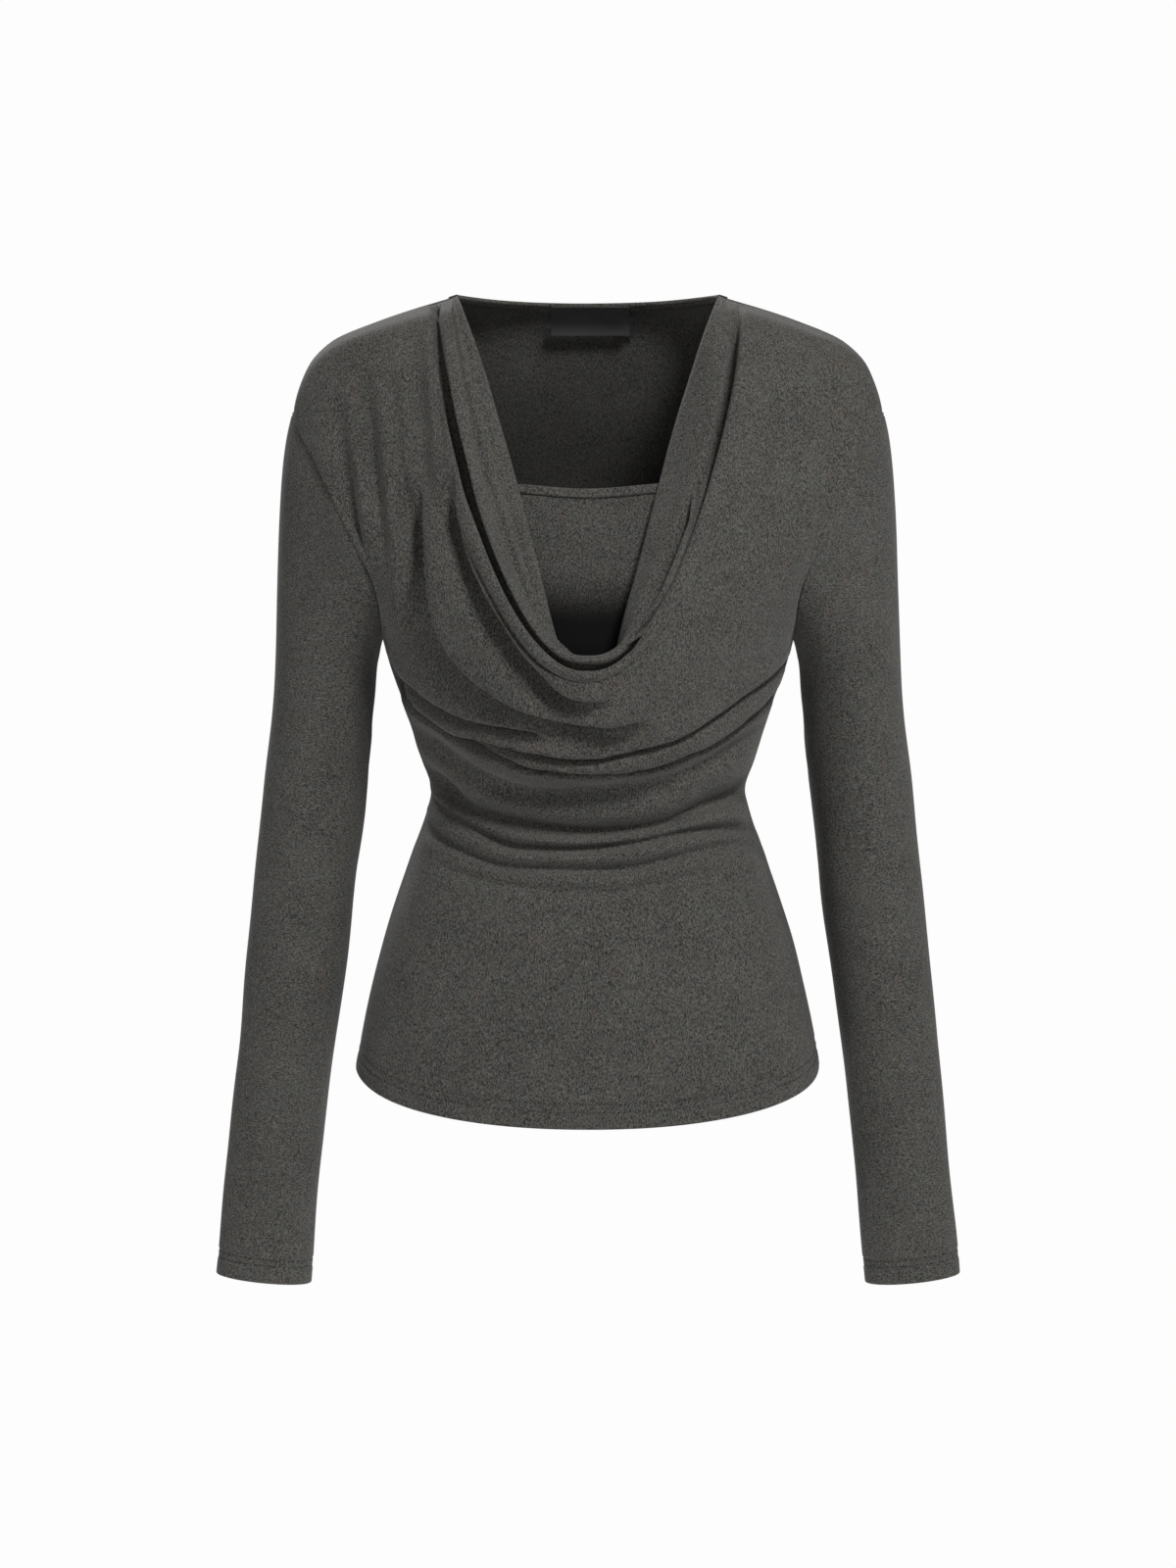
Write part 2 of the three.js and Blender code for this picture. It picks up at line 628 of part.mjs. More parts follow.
// A patch that hangs inside the back neck, `off` from the back's inner face
function neckPatch({ fromX, toX, top, height, off, curl }) {
  const [across, downward] = [8, 4];
  const surface = (x, down) => new THREE.Vector3(x, backY(x, down, 0), -down);
  const grid = Array.from({ length: downward + 1 }, (_, r) =>
    Array.from({ length: across + 1 }, (_, c) =>
      surface(mix(fromX, toX, c / across), top + (height * r) / downward),
    ),
  );
  const normals = gridNormals(grid, 1);
  const lift = (extra) =>
    grid.map((row, r) =>
      row.map((point, c) => {
        const distance = WALL + off + extra + curl * (r / downward) ** 2;
        return point.clone().addScaledVector(normals[r][c], -distance);
      }),
    );
  return { outer: lift(LABEL_WALL), inner: lift(0) };
}

const jersey = new THREE.MeshStandardMaterial({ color: 0x4a4946, roughness: 0.92, metalness: 0 });
const woven = new THREE.MeshStandardMaterial({ color: 0x141416, roughness: 0.55, metalness: 0 });

const top = new THREE.Group();
const addWall = (name, wall, tube, material) =>
  top.add(wallMesh(name, wall.outer, wall.inner, tube, material));

addWall("cowl_front", front, false, jersey);
addWall("back", back, false, jersey);
addWall("inner_panel", panel, false, jersey);
addWall("sleeve_left", sleeve(1), true, jersey);
addWall("sleeve_right", sleeve(-1), true, jersey);
addWall("back_neck_binding", binding(back.inner, back.normals, -1), false, jersey);
addWall("inner_panel_binding", binding(panel.outer, panel.normals, 1), false, jersey);
addWall("neck_label", neckPatch(LABEL), false, woven);
addWall("size_tab", neckPatch(TAB), false, woven);

export default top;
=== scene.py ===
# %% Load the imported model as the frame
import math
import bmesh
import bpy
import numpy as np
from mathutils import Matrix, Vector


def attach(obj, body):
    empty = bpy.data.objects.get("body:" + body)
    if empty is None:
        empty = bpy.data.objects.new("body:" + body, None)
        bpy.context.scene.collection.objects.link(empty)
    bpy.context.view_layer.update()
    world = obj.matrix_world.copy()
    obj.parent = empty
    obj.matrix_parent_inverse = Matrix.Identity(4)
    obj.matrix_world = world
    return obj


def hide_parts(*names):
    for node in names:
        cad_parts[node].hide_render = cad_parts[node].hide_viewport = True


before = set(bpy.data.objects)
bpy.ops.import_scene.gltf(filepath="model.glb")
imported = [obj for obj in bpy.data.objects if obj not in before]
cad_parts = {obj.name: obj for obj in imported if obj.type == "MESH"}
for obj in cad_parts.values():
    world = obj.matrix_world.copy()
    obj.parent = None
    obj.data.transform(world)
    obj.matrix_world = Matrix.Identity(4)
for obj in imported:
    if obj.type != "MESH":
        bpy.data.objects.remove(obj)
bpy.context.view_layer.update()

# %% [markdown]
# # A long sleeved jersey top with a cowl neck
# The top is a draped front, a plain back, two sleeves and a small inner panel behind the cowl.
# Each piece is one sheet of cloth: a flat grid is made by an operator and its points are moved on
# to the garment's form. The form comes from short tables, so a fold is one row that can be edited.
# The tables are in millimetres, z runs up and `down` runs down from the neck ends of the shoulders.

# %% Smooth tables
MM = 0.001


def table(columns, rows):
    return [dict(zip(columns.split(), row)) for row in rows]


def mix(a, b, share):
    return a + (b - a) * share


def fade(share):
    t = np.clip(share, 0, 1)
    return t * t * (3 - 2 * t)


def column_of(rows, by, name):
    """One column of a table as a smooth function that does not overshoot its rows."""
    x = np.array([row[by] for row in rows], float)
    y = np.array([row[name] for row in rows], float)
    rate = np.diff(y) / np.diff(x)
    slope = np.concatenate([rate[:1], np.zeros(len(y) - 2), rate[-1:]])
    same = rate[:-1] * rate[1:] > 0
    slope[1:-1][same] = (2 * rate[:-1] * rate[1:])[same] / (rate[:-1] + rate[1:])[same]

    def at(place):
        place = np.clip(place, x[0], x[-1])
        i = np.clip(np.searchsorted(x, place) - 1, 0, len(x) - 2)
        step = x[i + 1] - x[i]
        t = (place - x[i]) / step
        keep = (1 + 2 * t) * (1 - t) ** 2
        leave, arrive = t * (1 - t) ** 2 * step, t * t * (t - 1) * step
        return keep * y[i] + (1 - keep) * y[i + 1] + leave * slope[i] + arrive * slope[i + 1]

    return at


# %% [markdown]
# ## Measuring along cloth
# Every sheet is a grid of points, rows by columns. Seams, hems and stitches lie at a distance from
# an edge, so most steps measure how far each point lies along its line and look up points there.

# %% Lengths along a line
def unit(vectors):
    return vectors / np.linalg.norm(vectors, axis=-1, keepdims=True)


def run_along(points, axis=0):
    """How far each point lies along its line, from the line's start."""
    run = np.cumsum(np.linalg.norm(np.diff(points, axis=axis), axis=-1), axis=axis)
    return np.insert(run, 0, 0, axis=axis)


def point_at(wanted, run, points):
    """The place on a line of points where its run has the wanted length."""
    return np.stack([np.interp(wanted, run, points[:, k]) for k in range(3)], axis=-1)


# %% [markdown]
# ## The body's form
# A worn top is round where the figure is round. Each row below is one horizontal section: its half
# width, the half width where the armhole cuts it, how deep it is in front and behind, and how far
# the draped cowl stands off the chest. A rounded rectangle between a circle and a square (a
# superellipse) joins them, because a plain ellipse makes a torso too pointed at the side seams.

# %% Sections of the body
SECTIONS = table("down half edge front back cowl", [
    (2, 93, 93, 26, 46, 0), (18, 144, 144, 42, 63, 1), (35, 183, 183, 51, 70, 3),
    (53, 199.5, 199.5, 58, 75, 5), (83, 209, 209, 67, 81, 9), (113, 212, 195.5, 75, 86, 15),
    (143, 208, 180, 84, 89, 21), (165, 200, 168.5, 92, 90, 25), (189, 184, 157.6, 100, 89, 28),
    (206, 168, 150.5, 106, 88, 30), (226, 155, 147, 110, 86, 30), (244, 146.6, 146.6, 111, 84, 30),
    (262, 141.8, 141.8, 108, 81, 32), (296, 129.8, 129.8, 98, 75, 35),
    (331, 118.8, 118.8, 88, 69, 26),
    (353, 112, 112, 84, 67, 10), (364, 114, 114, 84, 69, 6), (402, 127.6, 127.6, 89, 82, 0),
    (455, 145, 145, 96, 98, 0), (508, 158.2, 158.2, 99, 107, 0), (548.5, 166, 166, 100, 110, 0),
])
NECK_DOWN, TIP_DOWN, UNDERARM_DOWN, HEM_DOWN = 2, 83, 244, 548.5
FRONT_ROUND, BACK_ROUND = 2.45, 2.3  # exponents of the rounded sections
COWL_SPREAD, STAND_SPREAD = 1.5, 1.4  # how fast a stand fades towards the sides
SAMPLES = 240  # points of a smooth line before it is spaced evenly
half, edge, front_depth, back_depth, cowl_stand = (
    column_of(SECTIONS, "down", name) for name in ("half", "edge", "front", "back", "cowl"))


def share_out(x, down, inset=0):
    """0 in the middle and 1 at the side."""
    return np.clip(np.abs(x) / (half(down) - inset), 0, 1)


def rounded(share, power):
    return (1 - share ** power) ** (1 / power)


def front_y(x, down, stand=0):
    share = share_out(x, down)
    cowl = cowl_stand(down) * (1 - share ** 2) ** COWL_SPREAD
    return -(front_depth(down) * rounded(share, FRONT_ROUND) + cowl + stand)


def back_y(x, down, stand=0):
    return back_depth(down) * rounded(share_out(x, down), BACK_ROUND) + stand


print("half width at the hem, mm:", half(HEM_DOWN))

# %% [markdown]
# ## Lines of cloth
# Cloth that hangs between two seams sags in lines. A line starts on the panel's edge (`at` is 0 to 1
# down the shoulder seam, 1 to 2 down the armhole, 2 to 3 down the side seam) and crosses the centre
# at `down`. Near the neck the lines crowd together: the free edge of the facing, the lip where it
# folds over, a roll, a deep tuck, and the outer fold that covers it. A tuck is a line that lies
# lower and deeper than the next one, so the cloth really passes behind itself there.

# %% Lines of the front and the back
LINE_COLUMNS = "at down bend rise flat follow crowd stand"
LINE_SHAPE = LINE_COLUMNS.split()[1:]
FRONT_LINES = table(LINE_COLUMNS, [
    (0, 296, 0.9, 1.2, 0.2, 0, 1.45, -24),
    (0.012, 270, 1.2, 0.95, 0.16, 0, 1.5, -15),
    (0.032, 252, 1.45, 0.65, 0.2, 0, 1.5, -3),
    (0.065, 255.5, 1.6, 0.68, 0.16, 0, 1.5, 2.5),
    (0.1, 264.5, 1.75, 0.72, 0.06, 0, 1.45, -11),
    (0.122, 261.5, 1.78, 0.72, 0.05, 0, 1.4, 1.5),
    (0.15, 265.5, 1.8, 0.72, 0.05, 0, 1.4, 3),
    (0.24, 270, 1.9, 0.72, 0, 0.2, 1.35, 0),
    (1, 284, 2.2, 0.8, 0, 1, 1.2, 0),
    (1.5, 298, 2.1, 0.9, 0, 1, 1.1, 0),
    (2, 316, 2, 0.9, 0, 1, 1, 0),
    (2.1, 331, 2, 0.9, 0, 1, 1, 0),
    (2.33, 376, 2, 0.85, 0, 1, 1, 0),
    (2.51, 416, 2, 0.7, 0, 1, 1, 0),
    (2.75, 497, 2, 0.55, 0, 1, 1, 0),
    (3, 582, 2, 0.5, 0, 1, 1, 0),
])
BACK_LINES = table(LINE_COLUMNS, [
    (0, 6.5, 2, 1, 0, 0, 1, 0),
    (1, 96, 2, 1, 0, 1, 1, 0),
    (2, 252, 2, 0.8, 0, 1, 1, 0),
    (2.33, 353, 2, 0.6, 0, 1, 1, 0),
    (3, 576, 2, 0.5, 0, 1, 1, 0),
])
SEAM_GAP = 0.35  # the clearance between pieces at a seam
EDGE_STEPS = 120  # steps along each of the three parts of a panel's edge


def spaced(points, steps, crowd=1.0):
    """Points along a polyline, evenly spaced or crowded towards its end."""
    run = run_along(points)
    wanted = run[-1] * (1 - (1 - np.linspace(0, 1, steps + 1)) ** crowd)
    return point_at(wanted, run, points)


def panel_edge(depth_at):
    """A panel's edge as a function of `at`, through shoulder seam, armhole and side seam."""
    parts = []
    for top, foot, width_at in ((NECK_DOWN, TIP_DOWN, half), (TIP_DOWN, UNDERARM_DOWN, edge),
                                (UNDERARM_DOWN, HEM_DOWN, half)):
        down = np.linspace(top, foot, SAMPLES)
        x = width_at(down)
        parts.append(spaced(np.stack([x, depth_at(x, down), -down], axis=1), EDGE_STEPS))

    def at(place):
        part = min(int(place), 2)
        return point_at((place - part) * EDGE_STEPS, np.arange(EDGE_STEPS + 1), parts[part])

    return at


def sag_row(lines, at, end, depth_at, steps):
    """Half a row, from the right edge to the centre."""
    def width_at(down):
        return np.where(down < TIP_DOWN, half(TIP_DOWN), edge(down))

    end_down = -end[2]
    centre, bend, rise_by, flat, follow, crowd, stand_by = (
        float(lines[name](at)) for name in LINE_SHAPE)
    share = np.linspace(1, 0, SAMPLES)
    slope = (np.hypot(share, flat) - flat) / (math.hypot(1, flat) - flat)
    rise = 1 - (1 - np.clip(slope, 0, 1) ** bend) ** rise_by
    down = mix(centre, end_down, rise)
    x = share * end[0] * (width_at(down) / width_at(end_down)) ** follow
    stand = stand_by * fade((1 - share ** 2) * STAND_SPREAD)
    row = spaced(np.stack([x, depth_at(x, down, stand), -down], axis=1), steps, crowd)
    row[0] = end
    return row


def body_grid(line_table, rows, depth_at, columns, side):
    """A panel's points, rows by columns, left to right and top to bottom."""
    lines = {name: column_of(line_table, "at", name) for name in LINE_SHAPE}
    edge_at = panel_edge(depth_at)
    grid = []
    for at in rows:
        right = sag_row(lines, at, edge_at(at), depth_at, columns // 2)
        grid.append(np.concatenate([right[:-1] * (-1, 1, 1), right[::-1]]))
    grid = np.array(grid)
    grid[..., 1] += SEAM_GAP / 2 * side
    return grid


def rows_between(*stops):
    """Row places from (start, (end, steps), ...)."""
    rows = [stops[0]]
    for end, steps in stops[1:]:
        rows += list(np.linspace(rows[-1], end, steps + 1)[1:])
    return np.array(rows)


ARMHOLE_STEPS = 50
FRONT_ROWS = rows_between(
    0, (0.036, 16), (0.24, 44), (1, 44), (2, ARMHOLE_STEPS), (2.55, 68), (2.9, 16), (3, 14))
BACK_ROWS = rows_between(0, (1, 34), (2, ARMHOLE_STEPS), (2.5, 40), (2.9, 34), (3, 22))
FRONT_COLUMNS, BACK_COLUMNS = 170, 124
front_base = body_grid(FRONT_LINES, FRONT_ROWS, front_y, FRONT_COLUMNS, -1)
back_base = body_grid(BACK_LINES, BACK_ROWS, back_y, BACK_COLUMNS, 1)
print("front grid", front_base.shape[:2], "back grid", back_base.shape[:2])

# %% [markdown]
# ## Folds
# Gathered cloth makes folds that lean over. Above a crease the cloth bulges out and hangs a little
# over the valley, and the valley keeps its depth for a while before the next layer comes out. So a
# crease is a path laid through a few points, and it moves the cloth in two ways: along the normal
# (`depth` inwards, `ridge` outwards above it and `rise` outwards below it) and across the path by
# `lip`. Displacing only along the normal can't make an overhang, and it is the overhang that draws
# the thin dark line in a photograph of jersey.

# %% Creases and falling folds
CREASE_COLUMNS = "points above below depth ridge rise lip"  # points are (x, down), left to right
FRONT_CREASES = table(CREASE_COLUMNS, [
    ([(-95, 124), (-88, 165), (-74, 203), (-55, 235), (-37, 257), (-20, 276), (0, 284), (22, 284)],
     5, 26, 13, 2.5, 0, 4.5),
    ([(-121, 124), (-118, 150), (-113, 200), (-106, 236), (-90, 260), (-70, 277), (-45, 290),
      (-15, 299), (15, 301), (48, 297)], 4.5, 26, 13, 2.5, 0, 4.5),
    ([(-2, 308), (14, 312), (25, 310), (40, 305)], 4, 9, 4, 1, 0, 1.5),
    ([(-152, 246), (-138, 264), (-111, 285), (-84, 297), (-58, 303), (-38, 309), (-22, 316)],
     3.6, 7.5, 13.5, 2.2, 0.4, 4.6),
    ([(-96, 303), (-60, 313), (-27, 321), (0, 323), (20, 321), (44, 314), (65, 307),
      (85, 296), (107, 282), (129, 268), (156, 248)], 3.2, 5.4, 16, 2.4, 0.7, 5),
    ([(-152, 254), (-138, 272), (-122, 290), (-100, 304), (-79, 313), (-58, 321), (-38, 328),
      (-17, 331), (13, 332), (34, 330), (54, 325), (86, 313), (107, 301), (130, 284), (146, 270)],
     3.2, 6, 18, 2.6, 0.9, 5.2),
    ([(-134, 296), (-112, 314), (-75, 336), (-50, 346), (-18, 349), (45, 342), (78, 331),
      (104, 318), (128, 303)], 14, 11, 6.5, 0, 0.8, 0.6),
    ([(-130, 322), (-112, 340), (-91, 356), (-70, 365), (-38, 372), (-7, 375), (24, 374), (55, 369),
      (77, 361), (94, 356), (116, 352), (132, 350)], 14, 8, 11, 0.4, 3, 1.2),
    ([(-132, 340), (-108, 360), (-76, 376), (-53, 385), (-28, 387), (0, 387), (35, 383), (66, 377),
      (98, 375), (124, 380), (142, 388)], 9, 7, 7.8, 0.3, 2.3, 1),
    ([(-136, 356), (-110, 378), (-76, 394), (-51, 400), (-18, 401), (24, 401), (55, 395), (87, 388),
      (109, 387), (124, 393), (144, 406)], 9, 8, 5.2, 0.2, 1.4, 0.5),
    ([(-122, 392), (-95, 404), (-59, 413), (-18, 416), (14, 417), (45, 413), (80, 404), (104, 396)],
     9, 8, 3, 0, 0.6, 0),
    # the right half of the deep tuck, from the shoulder down: the outer cloth stands over it
    ([(105, 8), (104, 40), (98, 76), (87, 116), (69, 161), (52, 200), (35, 236), (22, 252)],
     5.5, 8, 11, 2, 1.2, 2.6),
])
BACK_CREASES = table(CREASE_COLUMNS, [
    ([(-136, 284), (-50, 308), (10, 313), (60, 306), (124, 278)], 13, 8, 3.4, 0, 0.4, 0),
    ([(-134, 306), (-60, 329), (-12, 335), (40, 332), (96, 316)], 14, 7, 6, 0.3, 1.2, 0.4),
    ([(-96, 348), (-50, 356), (10, 358), (60, 351), (134, 326)], 13, 7, 7.4, 0.3, 1.6, 0.5),
    ([(-138, 352), (-60, 374), (-5, 380), (40, 378), (88, 370)], 11, 7, 5.4, 0, 1.1, 0.3),
    ([(-84, 390), (-40, 397), (8, 400), (60, 393), (136, 372)], 10, 7, 3.2, 0, 0.6, 0),
])
FALL_COLUMNS = "top_x top_down end_x end_down width depth"
FRONT_FALLS = table(FALL_COLUMNS, [
    (-121, 22, -112, 205, 8, 10), (-139, 44, -127, 200, 7, 8), (-159, 50, -143, 215, 8, 12.5),
    (-178, 70, -160, 222, 7, 11), (-108, 14, -101, 130, 4, 4), (-130, 120, -118, 250, 9, 6),
    (170, 84, 163, 165, 8, 3.6), (172, 130, 150, 222, 8, 3.2), (150, 70, 138, 200, 9, 2.4),
    (126, 50, 112, 190, 9, 2.2),
])
# Grooves that keep to the panel's own lines: `at` and `wide` along the shoulder seam, the depth on
# the left and on the right, and how much of it is left at the shoulder
GROOVE_COLUMNS = "at wide left right shoulder"
FRONT_GROOVES = table(GROOVE_COLUMNS, [
    (0.009, 0.003, 5.0, 0.8, 0.3),
    (0.021, 0.0032, 5.5, 0.6, 0.3),
    (0.1, 0.017, 14.0, 3.0, 0.6),
])
BACK_FALLS = table(FALL_COLUMNS, [
    (-150, 120, -128, 260, 12, 2), (146, 110, 130, 250, 12, 1.8), (-60, 260, -86, 330, 14, 1.5),
    (52, 250, 84, 325, 13, 1.3),
])
CREASE_FADE = 36  # the length over which a crease fades out at its ends
CREASE_CALM = 48  # the width at a side seam in which creases run out, so the outline stays calm
RIDGE_REACH, RISE_REACH = 1.3, 1.2  # the bulges above and below a crease lie this much further out
LIP_NEAR = 1.2  # the lip lies this much nearer
GROOVE_CHANGE = 50  # the width in which a groove goes from its left depth to its right
GROOVE_END = 0.75  # the share of the half width from which a groove goes over to the shoulder
SEAM_HOLD = 9  # the width at a side seam in which every move runs out
SEAM_SINK, SEAM_ROLL = 1.5, 3.2  # a seam pulls the cloth in by this, over this width
WAVES = 14  # how many waves soft_waves adds up


def grid_normals(grid, side):
    return unit(np.cross(np.gradient(grid, axis=1), np.gradient(grid, axis=0)) * side)


def smooth_path(points, steps=6):
    """A smooth curve through given points, as x and z."""
    p = np.array(points, float) * (1, -1)
    p = np.concatenate([2 * p[:1] - p[1:2], p, 2 * p[-1:] - p[-2:-1]])
    t = np.linspace(0, 1, steps, endpoint=False)[:, None]
    parts = [0.5 * (2 * b + (c - a) * t + (2 * a - 5 * b + 4 * c - d) * t ** 2
                    + (3 * b - a - 3 * c + d) * t ** 3)
             for a, b, c, d in zip(p, p[1:], p[2:], p[3:])]
    return np.concatenate([*parts, p[-2:-1]])


def to_path(path, grid):
    """Each point's distance from a path (positive above it), the path's direction there, and how
    far the nearest end of the path is along it."""
    spot = grid[..., [0, 2]].reshape(-1, 1, 2)
    leg = np.diff(path, axis=0)
    length = np.linalg.norm(leg, axis=1)
    share = np.clip(((spot - path[:-1]) * leg).sum(-1) / length ** 2, 0, 1)
    gap = spot - path[:-1] - share[..., None] * leg
    far = np.linalg.norm(gap, axis=-1)
    nearest = far.argmin(1)
    pick = np.arange(len(nearest)), nearest
    way = leg[nearest] / length[nearest, None]
    side = np.sign(way[:, 0] * gap[pick][:, 1] - way[:, 1] * gap[pick][:, 0])
    along = run_along(path)[nearest] + share[pick] * length[nearest]
    shape = grid.shape[:2]
    end = np.minimum(along, length.sum() - along)
    return (far[pick] * side).reshape(shape), way.reshape(*shape, 2), end.reshape(shape)


def bulge(u):
    """0 at the crease, 1 at a distance of u = 1, and gone by about 4."""
    return (np.maximum(u, 0) * np.exp(1 - np.maximum(u, 0))) ** 2


def crease_move(crease, grid, normals):
    away, way, end = to_path(smooth_path(crease["points"]), grid)
    ends = fade(end / CREASE_FADE)
    above, below = away / crease["above"], -away / crease["below"]
    sink = crease["depth"] * np.where(away > 0, np.maximum(0, 1 - above) ** 2, 1 - fade(below))
    out = (crease["ridge"] * bulge(above / RIDGE_REACH)
           + crease["rise"] * bulge(below / RISE_REACH) - sink) * ends
    slide = crease["lip"] * bulge(above * LIP_NEAR) * ends
    across = np.stack([way[..., 1], np.zeros_like(away), -way[..., 0]], axis=-1)
    across -= normals * (across * normals).sum(-1, keepdims=True)
    return normals * out[..., None] + across * slide[..., None]


def fall_move(fall, grid, normals):
    along = (-grid[..., 2] - fall["top_down"]) / (fall["end_down"] - fall["top_down"])
    away = (grid[..., 0] - mix(fall["top_x"], fall["end_x"], along)) / fall["width"]
    sink = fall["depth"] * np.exp(-away ** 2) * np.sin(math.pi * np.clip(along, 0, 1))
    return -normals * sink[..., None]


def from_edges(grid):
    """How far each point lies from the panel's side edges, along its row."""
    run = run_along(grid, 1)
    return np.minimum(run, run[:, -1:] - run)


def groove_move(groove, grid, rows, normals):
    """Sinks the rows near a groove; it fades towards the shoulders and changes sides softly."""
    near = np.exp(-((rows - groove["at"]) / groove["wide"]) ** 2)[:, None]
    x = grid[..., 0]
    depth = mix(groove["left"], groove["right"], fade(x / GROOVE_CHANGE + 0.5))
    end = fade((np.abs(x) / np.abs(x[:, :1]) - GROOVE_END) / (1 - GROOVE_END))
    return -normals * (near * depth * mix(1, groove["shoulder"], end))[..., None]


def soft_waves(grid, seed, height, length):
    """Low waves that keep a large plain area from looking like plastic."""
    random = np.random.default_rng(seed)
    total = np.zeros(grid.shape[:2])
    for _ in range(WAVES):
        way = random.normal(size=3)
        way *= 2 * math.pi / (length * random.uniform(0.7, 1.8)) / np.linalg.norm(way)
        total += np.sin(grid @ way + random.uniform(0, 2 * math.pi))
    return total * height / math.sqrt(WAVES)


def fold_panel(grid, rows, side, creases, falls, grooves, seed):
    normals = grid_normals(grid, side)
    distance = from_edges(grid)
    calm = fade(distance / CREASE_CALM)[..., None]
    move = sum(crease_move(c, grid, normals) for c in creases) * calm
    move += sum(fall_move(f, grid, normals) for f in falls)
    move += sum(groove_move(g, grid, rows, normals) for g in grooves)
    move += normals * soft_waves(grid, seed, height=0.45, length=70)[..., None]
    folded = grid + move * fade(distance / SEAM_HOLD)[..., None]
    normals = grid_normals(folded, side)
    for column in (0, -1):
        # where the panels meet in the middle plane, the seam sinks straight inwards
        normals[np.abs(grid[:, column, 1]) < 1, column, 1] = 0
        normals[:, column] = unit(normals[:, column])
    sink = SEAM_SINK * np.maximum(0, 1 - distance / SEAM_ROLL) ** 2
    return folded - normals * sink[..., None]


front_grid = fold_panel(front_base, FRONT_ROWS, -1, FRONT_CREASES, FRONT_FALLS, FRONT_GROOVES, 3)
back_grid = fold_panel(back_base, BACK_ROWS, 1, BACK_CREASES, BACK_FALLS, [], 4)
print("deepest crease, mm:", round(float(np.abs(front_grid - front_base).max()), 1))

# %% [markdown]
# ## Hems
# A jersey hem is turned up inside and held by a twin needle, which leaves two lines of stitches.
# The cloth is not cut off at the edge: its rows go on round a small radius and back up inside, so
# the edge is round and twice as thick as the rest, as on the real one. Each stitch line also
# presses a shallow furrow into the cloth.

# %% Turned hems and furrows
CLOTH = 0.9  # thickness of the jersey
HEM_LINES = (11, 17)  # heights of the stitch lines above the hem
CUFF_LINES = (12, 16)
HEM_WIDTH, CUFF_WIDTH = 20, 18  # how far the turned cloth goes up inside
TURN_RADIUS, TURN_STEPS = 1.0, 6  # the round edge where it turns
FURROW, FURROW_WIDTH = 0.8, 1.3  # the depth and half width that a stitch line presses in


def above_last_row(grid):
    """How far each point lies above the last row, along its column."""
    run = run_along(grid)
    return run[-1] - run


def furrows(grid, normals, heights):
    height = above_last_row(grid)
    sink = sum(FURROW * np.exp(-((height - h) / FURROW_WIDTH) ** 2) for h in heights)
    return grid - normals * sink[..., None]


def turned_hem(grid, normals, width):
    """The grid, with more rows that go round its edge and up inside."""
    downward = unit(grid[-1] - grid[-2])
    turn = [grid[-1] - normals[-1] * TURN_RADIUS * (1 - math.cos(a))
            + downward * TURN_RADIUS * math.sin(a)
            for a in np.linspace(0, math.pi, TURN_STEPS + 1)[1:]]
    height = above_last_row(grid).max(axis=1)
    up = [grid[r] - normals[r] * 2 * TURN_RADIUS for r in range(len(grid) - 2, 0, -1)
          if height[r] < width]
    return np.concatenate([grid, np.array(turn), np.array(up)])


def hemmed(grid, side):
    grid = furrows(grid, grid_normals(grid, side), HEM_LINES)
    normals = grid_normals(grid, side)
    return {"grid": grid, "normals": normals, "cloth": turned_hem(grid, normals, HEM_WIDTH)}


front_panel, back_panel = hemmed(front_grid, -1), hemmed(back_grid, 1)
print("girth at the hem, mm:", round(float(
    sum(run_along(panel["grid"][-1])[-1] for panel in (front_panel, back_panel)))))

# %% [markdown]
# ## Sleeves
# A sleeve is a tube of rings. Its first ring is the armhole itself, taken from the edges of the two
# body panels, so the seam closes whatever the panels do. Over the next rings the armhole's own
# shape fades out and the plain oval of the arm takes over.

# %% Sleeve grids
RING_COLUMNS = "down outer inner lift depth forward"
SLEEVE_RINGS = table("place " + RING_COLUMNS, [(i, *row) for i, row in enumerate([
    (83, 209, 146.6, 161, 60, 0), (100, 213, 147.4, 146, 58, 0), (122, 216, 148.2, 127, 55, 0),
    (150, 218.2, 149, 103, 52, 0), (182, 220, 149.8, 76, 49, 0), (215, 221.4, 150.8, 50, 47, 0),
    (250, 222.4, 151.4, 27, 45, 1), (300, 225.4, 153.6, 12, 43, 3), (350, 230.8, 158, 8, 41, 5),
    (420, 238.4, 166, 7, 38, 9), (490, 245.2, 175.4, 7, 35, 14), (560, 251.8, 185, 7, 32, 19),
    (630, 259.2, 192.4, 7, 28, 23), (695.5, 265.2, 197.6, 7, 25, 26)])])
RING = {name: column_of(SLEEVE_RINGS, "place", name) for name in RING_COLUMNS.split()}
LAST_RING = len(SLEEVE_RINGS) - 1
CAP_ROWS = 7  # the rings over which the armhole's own shape fades out
CAP_HOLD = 18  # the length below the armhole in which folds grow to their depth
CUFF_PART, CUFF_ROWS = 0.6, 24  # the last part of the sleeve, in rings, and its closer rows
